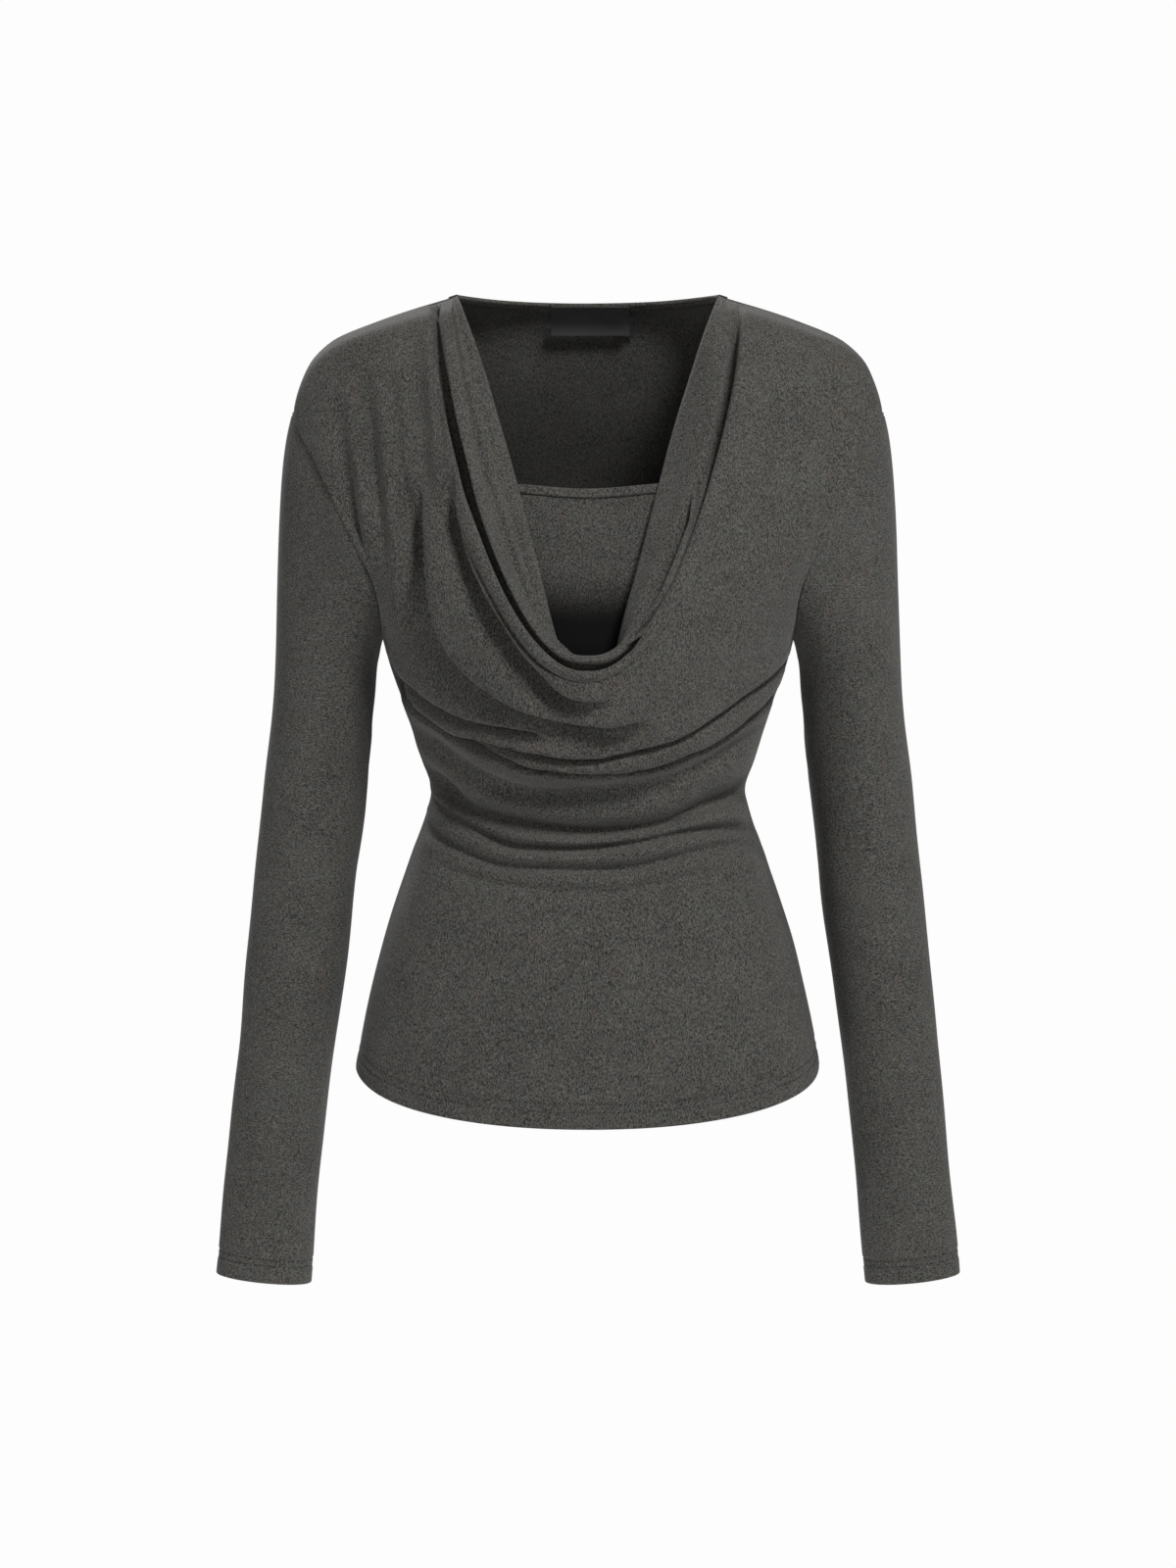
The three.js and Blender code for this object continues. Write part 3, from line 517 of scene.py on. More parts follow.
# Soft folds on a sleeve: the turn round the arm (0 outside, 0.25 front, 0.5 inside, 0.75 back),
# the distance down, how far the fold slants, its half lengths round and down, and its depth
SLEEVE_FOLDS = table("turn down slant round tall depth", [
    (0.36, 268, 50, 0.13, 11, 1.2), (0.38, 298, 40, 0.12, 11, 1.0), (0.36, 332, 22, 0.11, 12, 0.8),
    (0.66, 282, -40, 0.13, 10, 1.8), (0.64, 318, -30, 0.12, 9, 1.5), (0.31, 402, 16, 0.12, 13, 0.9),
    (0.33, 438, -14, 0.12, 12, 0.9), (0.27, 474, -20, 0.12, 13, 0.7),
    (0.69, 420, 18, 0.13, 11, 1.3),
    (0.18, 540, 12, 0.12, 14, 0.5), (0.32, 600, -14, 0.12, 12, 0.6), (0.25, 655, 10, 0.14, 11, 0.5),
    (0.72, 360, 14, 0.13, 14, 1.0), (0.13, 300, 30, 0.1, 20, 0.5),
])


def armhole_ring(side):
    """The armhole's edge points: down the front, then up the back."""
    column = -1 if side > 0 else 0
    down, up = (grid[(rows > 1 - 1e-9) & (rows < 2 + 1e-9), column]
                for grid, rows in ((front_grid, FRONT_ROWS), (back_grid, BACK_ROWS)))
    return np.concatenate([down, up[::-1][1:-1], down[:1]])


def sleeve_ring(place, turn, side):
    share = (1 - np.cos(turn)) / 2
    x = mix(RING["outer"](place), RING["inner"](place), share)
    down = RING["down"](place) + RING["lift"](place) * share
    y = -np.sin(turn) * RING["depth"](place) - RING["forward"](place)
    return np.stack([side * x, y, -down], axis=-1)


def sleeve_grid(side, rows, seed):
    loop = armhole_ring(side)
    turn = np.linspace(0, 2 * math.pi, len(loop))
    own = loop - sleeve_ring(0, turn, side)
    places = np.concatenate([np.linspace(0, LAST_RING - CUFF_PART, rows - CUFF_ROWS),
                             np.linspace(LAST_RING - CUFF_PART, LAST_RING, CUFF_ROWS + 1)[1:]])
    grid = np.array([sleeve_ring(p, turn, side) + own * (1 - fade(p / CAP_ROWS)) for p in places])
    normals = grid_normals(grid, side)
    normals[:, 0] = normals[:, -1] = normals[:, 0] + normals[:, -1]
    normals = unit(normals)
    start = run_along(grid)
    move = soft_waves(grid, seed, height=0.5, length=80)
    for fold in SLEEVE_FOLDS:
        round_by = (turn / (2 * math.pi) - fold["turn"] + 0.5) % 1 - 0.5
        slant = fold["slant"] * round_by / fold["round"] * 0.5
        tall = (-grid[..., 2] - fold["down"] - slant) / fold["tall"]
        # a valley, and a low ridge below it
        shape = np.exp(-np.abs(tall) ** 1.6) - 0.35 * np.exp(-((tall - 1.6) / 0.8) ** 2)
        move = move - fold["depth"] * shape * np.exp(-(round_by / fold["round"]) ** 2)
    move = move * fade(start / CAP_HOLD) - SEAM_SINK * np.maximum(0, 1 - start / SEAM_ROLL) ** 2
    grid = grid + normals * move[..., None]
    grid[0] = loop
    return grid, normals


SLEEVE_ROWS = 190
sleeves = {}
for name, side, seed in (("sleeve_left", 1, 11), ("sleeve_right", -1, 12)):
    grid, normals = sleeve_grid(side, SLEEVE_ROWS, seed)
    grid = furrows(grid, normals, CUFF_LINES)
    sleeves[name] = {"grid": grid, "normals": normals, "side": side,
                     "cloth": turned_hem(grid, normals, CUFF_WIDTH)}
    print(name, grid.shape[:2], "cuff girth", round(float(run_along(grid[-1])[-1])))

# %% [markdown]
# ## The inner panel
# Behind the cowl a plain inset keeps the neckline decent. It is sewn into the armholes with the
# front, so its sides end on the front's inner face, and it lies close to the figure.

# %% Inner panel grid
PANEL_TOP, PANEL_BOTTOM = 139.5, 292  # its edges at the middle
PANEL_TOP_AT, PANEL_BOTTOM_AT = 1.34, 1.97  # its corners along the front's edge, as `at`
PANEL_INSET, PANEL_SIDE_INSET = 10, 6  # how far it lies inside the front's section
PANEL_SAG, PANEL_SEAT = 1.3, 9  # how its rows hang, and how late they turn out to the armhole
PANEL_TOP_CURVE, PANEL_CURVE_TO = 3.4, 62  # its top edge rises by this, up to this far out
PANEL_HOLD = 20  # the width at its sides in which waves run out
PANEL_ROWS, PANEL_COLUMNS = 74, 120
front_edge_normals = grid_normals(front_base, -1)[:, -1]


def front_seat(at):
    """A point of the front's inner face at its right edge."""
    inward = point_at(at, FRONT_ROWS, front_edge_normals) * (CLOTH + SEAM_GAP)
    return point_at(at, FRONT_ROWS, front_grid[:, -1]) - inward


def inner_y(x, down):
    share = share_out(x, down, PANEL_SIDE_INSET)
    return -(front_depth(down) - PANEL_INSET) * rounded(share, FRONT_ROUND)


panel_rows = []
across = np.sin(np.linspace(-1, 1, PANEL_COLUMNS + 1) * math.pi / 2)
for share in np.linspace(0, 1, PANEL_ROWS + 1):
    seat = front_seat(mix(PANEL_TOP_AT, PANEL_BOTTOM_AT, share))
    turn_out = seat[1] - inner_y(seat[0], -seat[2])
    x = across * seat[0]
    down = mix(mix(PANEL_TOP, PANEL_BOTTOM, share), -seat[2], np.abs(across) ** PANEL_SAG)
    down = down - PANEL_TOP_CURVE * fade(np.abs(x) / PANEL_CURVE_TO) * (1 - share) ** 4
    y = inner_y(x, down) + turn_out * across ** (2 * PANEL_SEAT)
    panel_rows.append(np.stack([x, y, -down], axis=-1))

panel_base = np.array(panel_rows)
panel_waves = soft_waves(panel_base, 21, height=0.3, length=45)
panel_waves *= fade(from_edges(panel_base) / PANEL_HOLD)
panel_grid = panel_base + grid_normals(panel_base, -1) * panel_waves[..., None]
panel_normals = grid_normals(panel_grid, -1)
print("inner panel grid", panel_grid.shape[:2])

# %% [markdown]
# ## From points to a mesh
# A bmesh grid has the rows and columns already, so only its points are moved. Each face corner also
# gets its place on the cut cloth, in metres, in a UV map called `cloth`: how far it lies across
# from the middle and how far down. The painted shades on a piece, the painted dark pocket below
# the cowl and the painted shade down the inside of the back, and the ribs of the woven tape read
# that map.

# %% Cloth objects
def cloth_places(grid):
    across = run_along(grid, 1)
    return (across - across[:, -1:] / 2) * MM, -run_along(grid) * MM


def mesh_from(bm, name):
    mesh = bpy.data.meshes.new(name)
    bm.to_mesh(mesh)
    bm.free()
    return mesh


def add_object(name, data):
    made = bpy.data.objects.new(name, data)
    bpy.context.scene.collection.objects.link(made)
    return made


def sheet_piece(name, grid, outward, wall=CLOTH, closed=False, unfolded=None):
    """A grid of points as a sheet with a wall, whose faces look along `outward` (1 or -1). The map
    comes from the `unfolded` grid where there is one, so a deep crease doesn't shift it."""
    flat = grid if unfolded is None else np.concatenate([unfolded, grid[len(unfolded):]])
    rows, columns = grid.shape[:2]
    bm = bmesh.new()
    bmesh.ops.create_grid(bm, x_segments=columns - 1, y_segments=rows - 1, size=1)
    layer = bm.loops.layers.uv.new("cloth")
    across, down = cloth_places(flat)
    place = {v: (round((1 - v.co.y) / 2 * (rows - 1)), round((v.co.x + 1) / 2 * (columns - 1)))
             for v in bm.verts}
    for face in bm.faces:
        face.smooth = True
        for loop in face.loops:
            loop[layer].uv = across[place[loop.vert]], down[place[loop.vert]]
    for vertex, spot in place.items():
        vertex.co = grid[spot] * MM
    if closed:
        bmesh.ops.remove_doubles(bm, verts=bm.verts, dist=1e-6)
    if outward < 0:
        bmesh.ops.reverse_faces(bm, faces=bm.faces)
    piece = add_object(name, mesh_from(bm, name))
    solid = piece.modifiers.new("wall", "SOLIDIFY")
    solid.thickness, solid.offset, solid.use_rim = wall * MM, -1, True
    return piece


# the grid's own faces look to +Z with x to the right and y up: on the front that is -Y
cowl_front = sheet_piece("cowl_front_cloth", front_panel["cloth"], 1, unfolded=front_base)
back = sheet_piece("back_cloth", back_panel["cloth"], -1, unfolded=back_base)
inner_panel = sheet_piece("inner_panel_cloth", panel_grid, 1)
sleeve_pieces = {name: sheet_piece(name + "_cloth", part["cloth"], -part["side"], closed=True)
                 for name, part in sleeves.items()}
for piece in (cowl_front, back, inner_panel, *sleeve_pieces.values()):
    print(piece.name, len(piece.data.polygons), "faces")

# %% [markdown]
# ## Bindings
# The back neck and the inner panel's top edge are bound: a narrow strip of the same jersey is
# wrapped over the raw edge and stitched down. The strip goes up the outer side, over the edge in a
# half circle and down the inner side, and it is laid on the panel's own first rows.

# %% Bindings
BINDING_WIDTH = 6.5
BINDING_OFF = 0.25  # the strip's clearance from the cloth that it wraps
BINDING_CLOTH = 0.8
BINDING_TOP = 0.3  # where its sides end and the turn over the edge begins
BINDING_STEPS, PANEL_TOP_ROWS = 9, 40  # its rows on each side, and the panel's rows that it needs
FOOT, FOOT_PRESS = 1.0, 0.35  # the last part of the outer side is pressed in by the stitches


def down_columns(grid, distances):
    """Points at given distances down from a grid's first row."""
    run = run_along(grid)
    columns = [point_at(distances, run[:, c], grid[:, c]) for c in range(grid.shape[1])]
    return np.stack(columns, axis=1)


def binding_grid(grid, normals, stops):
    """From the outer side's foot over the edge to the inner side's foot."""
    grid, normals = grid[:PANEL_TOP_ROWS, stops:-stops], normals[0, stops:-stops]
    out, into = BINDING_OFF + BINDING_CLOTH, -(CLOTH + BINDING_OFF + BINDING_CLOTH)
    drops = np.linspace(BINDING_WIDTH, BINDING_TOP, BINDING_STEPS)
    faces = down_columns(grid, drops)
    upward = unit(faces[-1] - faces[-2])
    outer = [face + normals * (out - FOOT_PRESS * max(0, drop - (BINDING_WIDTH - FOOT)))
             for face, drop in zip(faces, drops)]
    middle, radius = (out + into) / 2, (out - into) / 2
    over = [faces[-1] + normals * (middle + radius * math.cos(a))
            + upward * radius * 0.8 * math.sin(a)
            for a in np.linspace(0, math.pi, BINDING_STEPS)[1:-1]]
    inner = [face + normals * into for face in faces[::-1]]
    return np.array(outer + over + inner)


panel_binding_grid = binding_grid(panel_grid, panel_normals, 2)
back_normals = grid_normals(back_grid, 1)
back_binding_grid = binding_grid(back_grid, back_normals, 1)
panel_binding = sheet_piece("inner_panel_binding_cloth", panel_binding_grid[::-1], 1, BINDING_CLOTH)
back_binding = sheet_piece("back_neck_binding_cloth", back_binding_grid[::-1], -1, BINDING_CLOTH)
print("bindings", panel_binding_grid.shape[:2], back_binding_grid.shape[:2])

# %% [markdown]
# ## Label and size tab
# A woven tape is sewn in under the back neck binding and hangs free at its foot, so it stands off
# the back and throws a small shadow. It is left bare. The tab beside it is a shorter piece.

# %% Label and tab
LABEL, TAB = table("from_x to_x top height off curl", [
    (-27, 30.5, 4.5, 21, 2.8, 3.5), (22, 33, 13, 15, 1.35, 0.5)])
TAPE = 0.7  # thickness of the folded tape
TAPE_SEAT = 1.5  # how far inside the back's outer face a tape's own clearance begins
TAPE_EDGE = 0.2  # the radius of its edges


def neck_patch(name, patch, columns, rows):
    across = np.linspace(0, 1, columns + 1)
    downs = patch["top"] + patch["height"] * np.linspace(0, 1, rows + 1)
    x = mix(patch["from_x"], patch["to_x"], across)
    grid = np.array([np.stack([x, back_y(x, d), np.full_like(x, -d)], axis=-1) for d in downs])
    normals = grid_normals(grid, 1)
    share = np.linspace(0, 1, rows + 1)[:, None]
    sway = 0.35 * np.sin(across * 5.2 + 0.6)[None] * share  # its foot is never quite straight
    distance = TAPE_SEAT + patch["off"] + TAPE + patch["curl"] * share ** 2 + sway
    grid = grid - normals * distance[..., None]
    piece = sheet_piece(name, grid, 1, TAPE)
    soften = piece.modifiers.new("edge", "BEVEL")
    soften.width, soften.segments, soften.limit_method = TAPE_EDGE * MM, 2, "ANGLE"
    return piece


label = neck_patch("neck_label_tape", LABEL, 48, 18)
tab = neck_patch("size_tab_tape", TAB, 12, 14)
print("label and tab", len(label.data.polygons), len(tab.data.polygons))

# %% [markdown]
# ## Stitches
# Seen close, a seam is a row of short threads that dive into the cloth at both ends. One stitch is a
# small ball stretched along the seam, and it is repeated at every stitch length. The rows are laid
# on the cloth's own points, so they follow the drape.

# %% Stitch rows
STITCH_LENGTH, STITCH_GAP = 2.6, 0.9
THREAD = 0.26  # half the thread's thickness
THREAD_LIFT = 0.35  # the share of that by which a stitch stands above the cloth
NORMAL_ROW = -8  # a row near the edge, whose normals serve for all its stitch lines
STITCH_BATCH = 24  # an operator slows down as its mesh grows, so stitches are made in small batches


def line_at_height(grid, height):
    """The points at a height above a grid's last row."""
    above = above_last_row(grid)[::-1]
    return np.array([point_at(height, above[:, c], grid[::-1, c]) for c in range(grid.shape[1])])


def stitch_row(name, lines):
    """One mesh of stitches along lines, each a pair of points and outward normals."""
    places = []
    for points, normals in lines:
        run = run_along(points)
        for start in np.arange(STITCH_GAP, run[-1] - STITCH_LENGTH, STITCH_LENGTH + STITCH_GAP):
            near, middle, far = (Vector(point_at(start + share * STITCH_LENGTH, run, points))
                                 for share in (0, 0.5, 1))
            along = (far - near).normalized()
            up = Vector(point_at(start + STITCH_LENGTH / 2, run, normals)).normalized()
            aside = up.cross(along).normalized()
            turn = Matrix((along, aside, along.cross(aside))).transposed().to_4x4()
            size = Matrix.Diagonal((STITCH_LENGTH / 2, THREAD, THREAD, 1))
            spot = Matrix.Translation((middle + up * THREAD * THREAD_LIFT) * MM)
            places.append(spot @ turn @ size)
    whole = bmesh.new()
    for first in range(0, len(places), STITCH_BATCH):
        batch = bmesh.new()
        for place in places[first:first + STITCH_BATCH]:
            bmesh.ops.create_uvsphere(batch, u_segments=6, v_segments=5, radius=MM, matrix=place)
        part = mesh_from(batch, "batch")
        whole.from_mesh(part)
        bpy.data.meshes.remove(part)
    for face in whole.faces:
        face.smooth = True
    mesh = mesh_from(whole, name)
    print(name, len(places), "stitches,", len(mesh.polygons), "faces")
    return add_object(name, mesh)


def edge_lines(part, heights):
    return [(line_at_height(part["grid"], h), part["normals"][NORMAL_ROW]) for h in heights]


hem_stitching = stitch_row(
    "hem_stitches", edge_lines(front_panel, HEM_LINES) + edge_lines(back_panel, HEM_LINES))
cuff_stitching = [stitch_row("cuff_stitches_" + name.split("_")[1], edge_lines(part, CUFF_LINES))
                  for name, part in sleeves.items()]
binding_stitching = stitch_row("binding_stitches", [
    (panel_binding_grid[1], panel_normals[0, 2:-2]),
    (back_binding_grid[-2], -back_normals[0, 1:-1])])

# %% [markdown]
# ## Materials
# The jersey is a melange: dark grey yarn spun with a few lighter, browner and greener fibres. From
# a step away that reads as a fine salt and pepper that runs a little along the wales. One node
# group makes it for every piece from noise on object coordinates, drawn out along the wales, and
# gives a colour, a roughness and a height. The reverse of the knit is duller, and a painted shade
# darkens it down the back. The inner panel is a darker copy with a painted shade, nearly black,
# where the cowl closes over it and little light comes in.

# %% Node helpers
def feed(tree, socket, value):
    if isinstance(value, bpy.types.NodeSocket):
        tree.links.new(value, socket)
    else:
        socket.default_value = value


def add_node(tree, kind, inputs=None, **settings):
    made = tree.nodes.new(kind)
    for name, value in settings.items():
        setattr(made, name, value)
    for socket, value in (inputs or {}).items():
        feed(tree, made.inputs[socket], value)
    return made


def math_node(tree, operation, *values):
    return add_node(tree, "ShaderNodeMath", dict(enumerate(values)), operation=operation).outputs[0]


def blend(tree, factor, a, b, blend_type="MIX"):
    made = add_node(tree, "ShaderNodeMix", data_type="RGBA", blend_type=blend_type)
    sockets = {s.identifier: s for s in (*made.inputs, *made.outputs)}
    for name, value in (("Factor_Float", factor), ("A_Color", a), ("B_Color", b)):
        feed(tree, sockets[name], value)
    return sockets["Result_Color"]


def new_weave(name, inputs):
    """A node group that gives a colour, a roughness and a height."""
    tree = bpy.data.node_groups.new(name, "ShaderNodeTree")
    for title, kind, default in inputs:
        socket = tree.interface.new_socket(title, in_out="INPUT", socket_type="NodeSocket" + kind)
        if default is not None:
            socket.default_value = default
    for title, kind in (("Color", "Color"), ("Roughness", "Float"), ("Height", "Float")):
        tree.interface.new_socket(title, in_out="OUTPUT", socket_type="NodeSocket" + kind)
    return tree, tree.nodes.new("NodeGroupInput").outputs, tree.nodes.new("NodeGroupOutput").inputs


def noise(tree, vector, scale, detail=2.0, roughness=0.6):
    return add_node(tree, "ShaderNodeTexNoise", {
        "Vector": vector, "Scale": scale, "Detail": detail, "Roughness": roughness}).outputs["Fac"]


def ranged(tree, value, low, high, to_low=0.0, to_high=1.0):
    return add_node(tree, "ShaderNodeMapRange", {
        "Value": value, "From Min": low, "From Max": high, "To Min": to_low,
        "To Max": to_high}).outputs[0]


# %% The melange knit
knit, knit_in, knit_out = new_weave("melange_knit", [
    ("Place", "Vector", None), ("Dark", "Color", (0.03, 0.03, 0.028, 1)),
    ("Pale", "Color", (0.15, 0.145, 0.13, 1)), ("Fleck", "Float", 1.0),
    ("Stretch", "Vector", (1.0, 1.0, 0.5))])
place = knit_in["Place"]
drawn = add_node(knit, "ShaderNodeVectorMath", {0: place, 1: knit_in["Stretch"]},
                 operation="MULTIPLY").outputs[0]
fine = noise(knit, drawn, 2100.0)
coarse = noise(knit, drawn, 1150.0)
cloud = noise(knit, place, 28.0, 3.0, 0.5)
hue = noise(knit, drawn, 210.0, 1.0, 0.5)
speck = math_node(knit, "ADD", math_node(knit, "MULTIPLY", fine, 0.35),
                  math_node(knit, "MULTIPLY", coarse, 0.65))
pepper = math_node(knit, "SUBTRACT", ranged(knit, speck, 0.36, 0.66), 0.5)
pepper = math_node(knit, "MULTIPLY_ADD", pepper, knit_in["Fleck"], 0.5)
pepper = math_node(knit, "ADD", pepper, ranged(knit, cloud, 0.3, 0.7, -0.06, 0.06))
yarn = blend(knit, pepper, knit_in["Dark"], knit_in["Pale"])
brown = blend(knit, ranged(knit, hue, 0.52, 0.68, 0.0, 0.5), yarn, (1.12, 1.0, 0.86, 1), "MULTIPLY")
green = blend(knit, ranged(knit, hue, 0.48, 0.34, 0.0, 0.5), brown, (0.9, 1.02, 0.98, 1),
              "MULTIPLY")
height = math_node(knit, "ADD", fine, math_node(knit, "MULTIPLY", coarse, 0.6))
feed(knit, knit_out["Color"], green)
feed(knit, knit_out["Roughness"], ranged(knit, fine, 0.3, 0.7, 0.95, 0.82))
feed(knit, knit_out["Height"], height)


def new_material(name):
    made = bpy.data.materials.new(name)
    made.use_nodes = True
    return made, made.node_tree, made.node_tree.nodes["Principled BSDF"]


def join_weave(tree, shader, weave, settings, bump, grain):
    """Lets a weave's node group drive a shader's colour, roughness and relief."""
    group = add_node(tree, "ShaderNodeGroup", settings, node_tree=weave)
    raised = add_node(tree, "ShaderNodeBump", {
        "Strength": bump, "Distance": grain, "Height": group.outputs["Height"]})
    for socket, value in (("Base Color", group.outputs["Color"]), ("Normal", raised.outputs[0]),
                          ("Roughness", group.outputs["Roughness"])):
        feed(tree, shader.inputs[socket], value)
    return group.outputs["Color"]


def object_place(tree):
    return add_node(tree, "ShaderNodeTexCoord").outputs["Object"]


def cloth_map(tree):
    return add_node(tree, "ShaderNodeUVMap", uv_map="cloth").outputs[0]


# the colour that painted shade darkens the cloth towards
PAINTED_SHADE_BLACK = (0.0006, 0.0006, 0.0006)


def jersey_material(name, dark, pale, fleck, stretch=(1.0, 1.0, 0.5), shade=None):
    """`shade` paints shade into the colour: it darkens the cloth towards nearly black between two
    distances from its top edge, in metres, by a share.
    """
    made, tree, shader = new_material(name)
    color = join_weave(tree, shader, knit, {
        "Place": object_place(tree), "Dark": (*dark, 1), "Pale": (*pale, 1), "Fleck": fleck,
        "Stretch": stretch}, bump=0.3, grain=0.0002)
    # painted shade: the colour goes towards nearly black with the distance down the cloth map
    if shade:
        down = add_node(tree, "ShaderNodeSeparateXYZ", {0: cloth_map(tree)}).outputs[1]
        deep = add_node(tree, "ShaderNodeMapRange", {
            "Value": down, "From Min": -shade[0], "From Max": -shade[1], "To Max": shade[2]},
            interpolation_type="SMOOTHSTEP")
        color = blend(tree, deep.outputs[0], color, (*PAINTED_SHADE_BLACK, 1))
        tree.links.new(color, shader.inputs["Base Color"])
    for socket, value in (
            ("Specular IOR Level", 0.25), ("Sheen Weight", 0.12), ("Sheen Roughness", 0.5)):
        shader.inputs[socket].default_value = value
    return made


jersey = jersey_material("grey_melange_jersey", (0.016, 0.0153, 0.0138),
                         (0.138, 0.132, 0.123), 1.35)
jersey_sleeve = jersey_material("grey_melange_jersey_sleeve", (0.018, 0.0172, 0.0155),
                                (0.138, 0.133, 0.124), 1.3, (0.6, 0.6, 1.0))
# the inner panel: a darker copy of the jersey, with painted shade that goes nearly black below the
# cowl
jersey_with_painted_pocket_shade = jersey_material("grey_melange_jersey_with_painted_pocket_shade", (0.015, 0.0143, 0.013),
                              (0.126, 0.121, 0.113), 1.35, shade=(0.058, 0.098, 1))
# the reverse of the knit: duller, with painted shade that darkens it down the back
jersey_reverse_with_painted_shade = jersey_material("grey_melange_jersey_reverse", (0.017, 0.0163, 0.015),
                                 (0.128, 0.124, 0.116), 1.1, shade=(0.004, 0.13, 0.62))
print("knit group nodes:", len(knit.nodes))

# %% The tape and the thread
satin, satin_in, satin_out = new_weave("satin_weave", [
    ("Place", "Vector", None), ("Base", "Color", (0.006, 0.006, 0.007, 1)),
    ("Rib", "Color", (0.02, 0.02, 0.022, 1)), ("Pitch", "Float", 0.0007)])
x, y, _ = add_node(satin, "ShaderNodeSeparateXYZ", {0: satin_in["Place"]}).outputs
slant = math_node(satin, "ADD", x, math_node(satin, "MULTIPLY", y, 0.5))
turns = math_node(satin, "MULTIPLY", slant, 2 * math.pi)
ribs = math_node(satin, "SINE", math_node(satin, "DIVIDE", turns, satin_in["Pitch"]))
lint = noise(satin, satin_in["Place"], 1600.0)
# the ribs' lighter tone is partly the weave's own and partly painted sheen on the rib tops
rib_tone_and_painted_sheen = ranged(satin, math_node(satin, "ADD", ribs, lint), 0.2, 1.6)
feed(satin, satin_out["Color"], blend(satin, rib_tone_and_painted_sheen, satin_in["Base"], satin_in["Rib"]))
feed(satin, satin_out["Roughness"], ranged(satin, lint, 0.3, 0.7, 0.42, 0.6))
feed(satin, satin_out["Height"], ribs)


def tape_material(name, base, rib, pitch, place_in):
    made, tree, shader = new_material(name)
    join_weave(tree, shader, satin, {
        "Place": place_in(tree), "Base": (*base, 1), "Rib": (*rib, 1), "Pitch": pitch},
        bump=0.4, grain=0.0001)
    return made


tape = tape_material("black_woven_tape", (0.024, 0.024, 0.0245), (0.041, 0.041, 0.043), 0.0007,
                     cloth_map)
thread = tape_material("charcoal_thread", (0.012, 0.012, 0.0112), (0.03, 0.029, 0.027), 0.0005,
                       object_place)
stitching = (hem_stitching, binding_stitching, *cuff_stitching)
for material, pieces in (
        (jersey, (cowl_front, back, panel_binding, back_binding)), (jersey_with_painted_pocket_shade, [inner_panel]),
        (jersey_reverse_with_painted_shade, [back]), (jersey_sleeve, sleeve_pieces.values()), (tape, (label, tab)),
        (thread, stitching)):
    for piece in pieces:
        piece.data.materials.append(material)
# the back's inner face carries the reverse of the knit with its painted shade down the back
back.modifiers["wall"].material_offset = 1  # its inner face shows the reverse of the knit
print("materials:", [m.name for m in bpy.data.materials if m.users][:8])

# %% [markdown]
# ## Floor, light and camera
# The garment hangs as if worn, so the floor is a wearer's height below it. A key lamp at the upper
# right gives the folds their shade. Two lamps at the sides draw the outline, and a weak one beside
# the camera keeps the shade open. The world looks white but gives little light, which would
# flatten the folds. The camera looks from the front, four degrees down.

# %% Studio
FLOOR_DOWN, FLOOR_RADIUS = 1.42, 1.7
FLOOR_FADE = (0.35, 0.95)  # where it goes over to the white world, in shares of its radius
TARGET = Vector((0, 0, -0.349))
CAMERA_DISTANCE, CAMERA_ANGLE = 3.0, math.radians(4)
FRAME_HEIGHT = 1.12  # what the photograph's height covers at the target

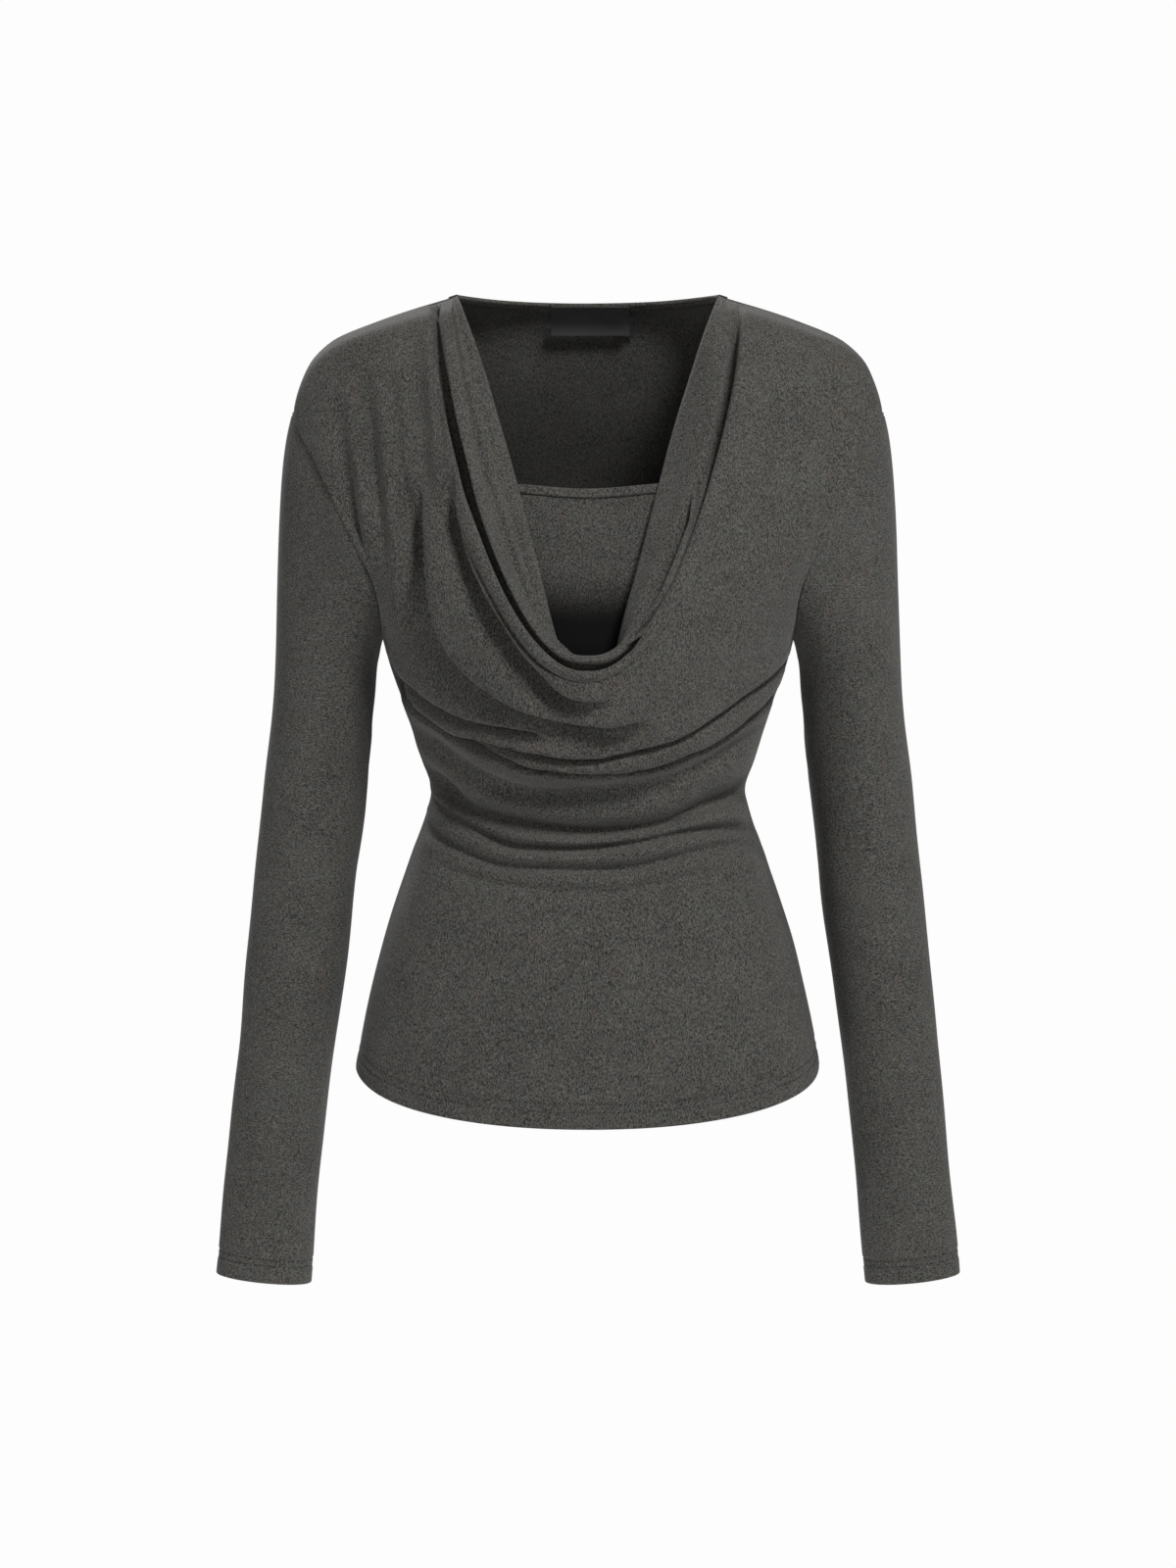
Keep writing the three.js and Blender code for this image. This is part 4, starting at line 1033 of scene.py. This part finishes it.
bm = bmesh.new()
bmesh.ops.create_circle(bm, cap_ends=True, segments=96, radius=FLOOR_RADIUS,
                        matrix=Matrix.Translation((0, 0, -FLOOR_DOWN)))
floor = add_object("floor", mesh_from(bm, "floor"))
pale, tree, shader = new_material("pale_floor")
flat = add_node(tree, "ShaderNodeVectorMath", {0: object_place(tree), 1: (1, 1, 0)},
                operation="MULTIPLY").outputs[0]
out = add_node(tree, "ShaderNodeVectorMath", {0: flat}, operation="LENGTH").outputs["Value"]
rim = ranged(tree, out, *(share * FLOOR_RADIUS for share in FLOOR_FADE))
for socket, value in (
        ("Base Color", blend(tree, rim, (0.92, 0.92, 0.92, 1), (0, 0, 0, 1))),
        ("Emission Strength", ranged(tree, rim, 0, 1, 0.45, 1.0)),
        ("Emission Color", (1, 1, 1, 1)), ("Roughness", 0.9), ("Specular IOR Level", 0)):
    feed(tree, shader.inputs[socket], value)
floor.data.materials.append(pale)


def aim(thing, location):
    """Puts a lamp or camera at a place, looking at the target."""
    thing.location = location
    thing.rotation_euler = (TARGET - location).to_track_quat("-Z", "Y").to_euler()


for name, location, size, power in (
        ("left_fill", (-2.8, -0.9, 0.4), 1.1, 20), ("right_fill", (2.8, -0.9, 0.4), 1.1, 16),
        ("key", (1.25, -2.1, 2.15), 0.8, 82), ("front_fill", (-0.2, -3.0, -0.1), 0.9, 9),
        ("back_light", (-0.9, 2.2, 2.0), 1.0, 62)):
    light = bpy.data.lights.new(name, "AREA")
    light.shape, light.size, light.energy = "SQUARE", size, power
    aim(add_object(name, light), Vector(location))

world = bpy.context.scene.world = bpy.data.worlds.new("studio")
world.use_nodes = True
sky = world.node_tree
background = next(n for n in sky.nodes if n.type == "BACKGROUND")
rays = add_node(sky, "ShaderNodeLightPath").outputs
background.inputs["Color"].default_value = (1, 1, 1, 1)
feed(sky, background.inputs["Strength"], ranged(sky, rays["Is Camera Ray"], 0, 1, 0.07, 0.982))
bpy.context.scene.view_settings.view_transform = "Standard"

lens = bpy.data.cameras.new("camera")
lens.sensor_width = 36
lens.lens = lens.sensor_width / FRAME_HEIGHT * CAMERA_DISTANCE
camera = add_object("camera", lens)
aim(camera, TARGET + CAMERA_DISTANCE * Vector((0, -math.cos(CAMERA_ANGLE), math.sin(CAMERA_ANGLE))))
bpy.context.scene.camera = camera
print("camera at", camera.location[:], "lens", lens.lens)

# %% [markdown]
# ## What each piece stands for
# Every cloth piece rides on the garment's one body and stands for the plain solid of the same name.

# %% Pieces and the solids they stand for
STANDS_FOR = {
    "cowl_front": cowl_front, "back": back, "inner_panel": inner_panel, **sleeve_pieces,
    "inner_panel_binding": panel_binding, "back_neck_binding": back_binding,
    "neck_label": label, "size_tab": tab}
for node_name, piece in STANDS_FOR.items():
    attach(piece, "root")
    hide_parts(node_name)
for piece in stitching:
    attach(piece, "root")
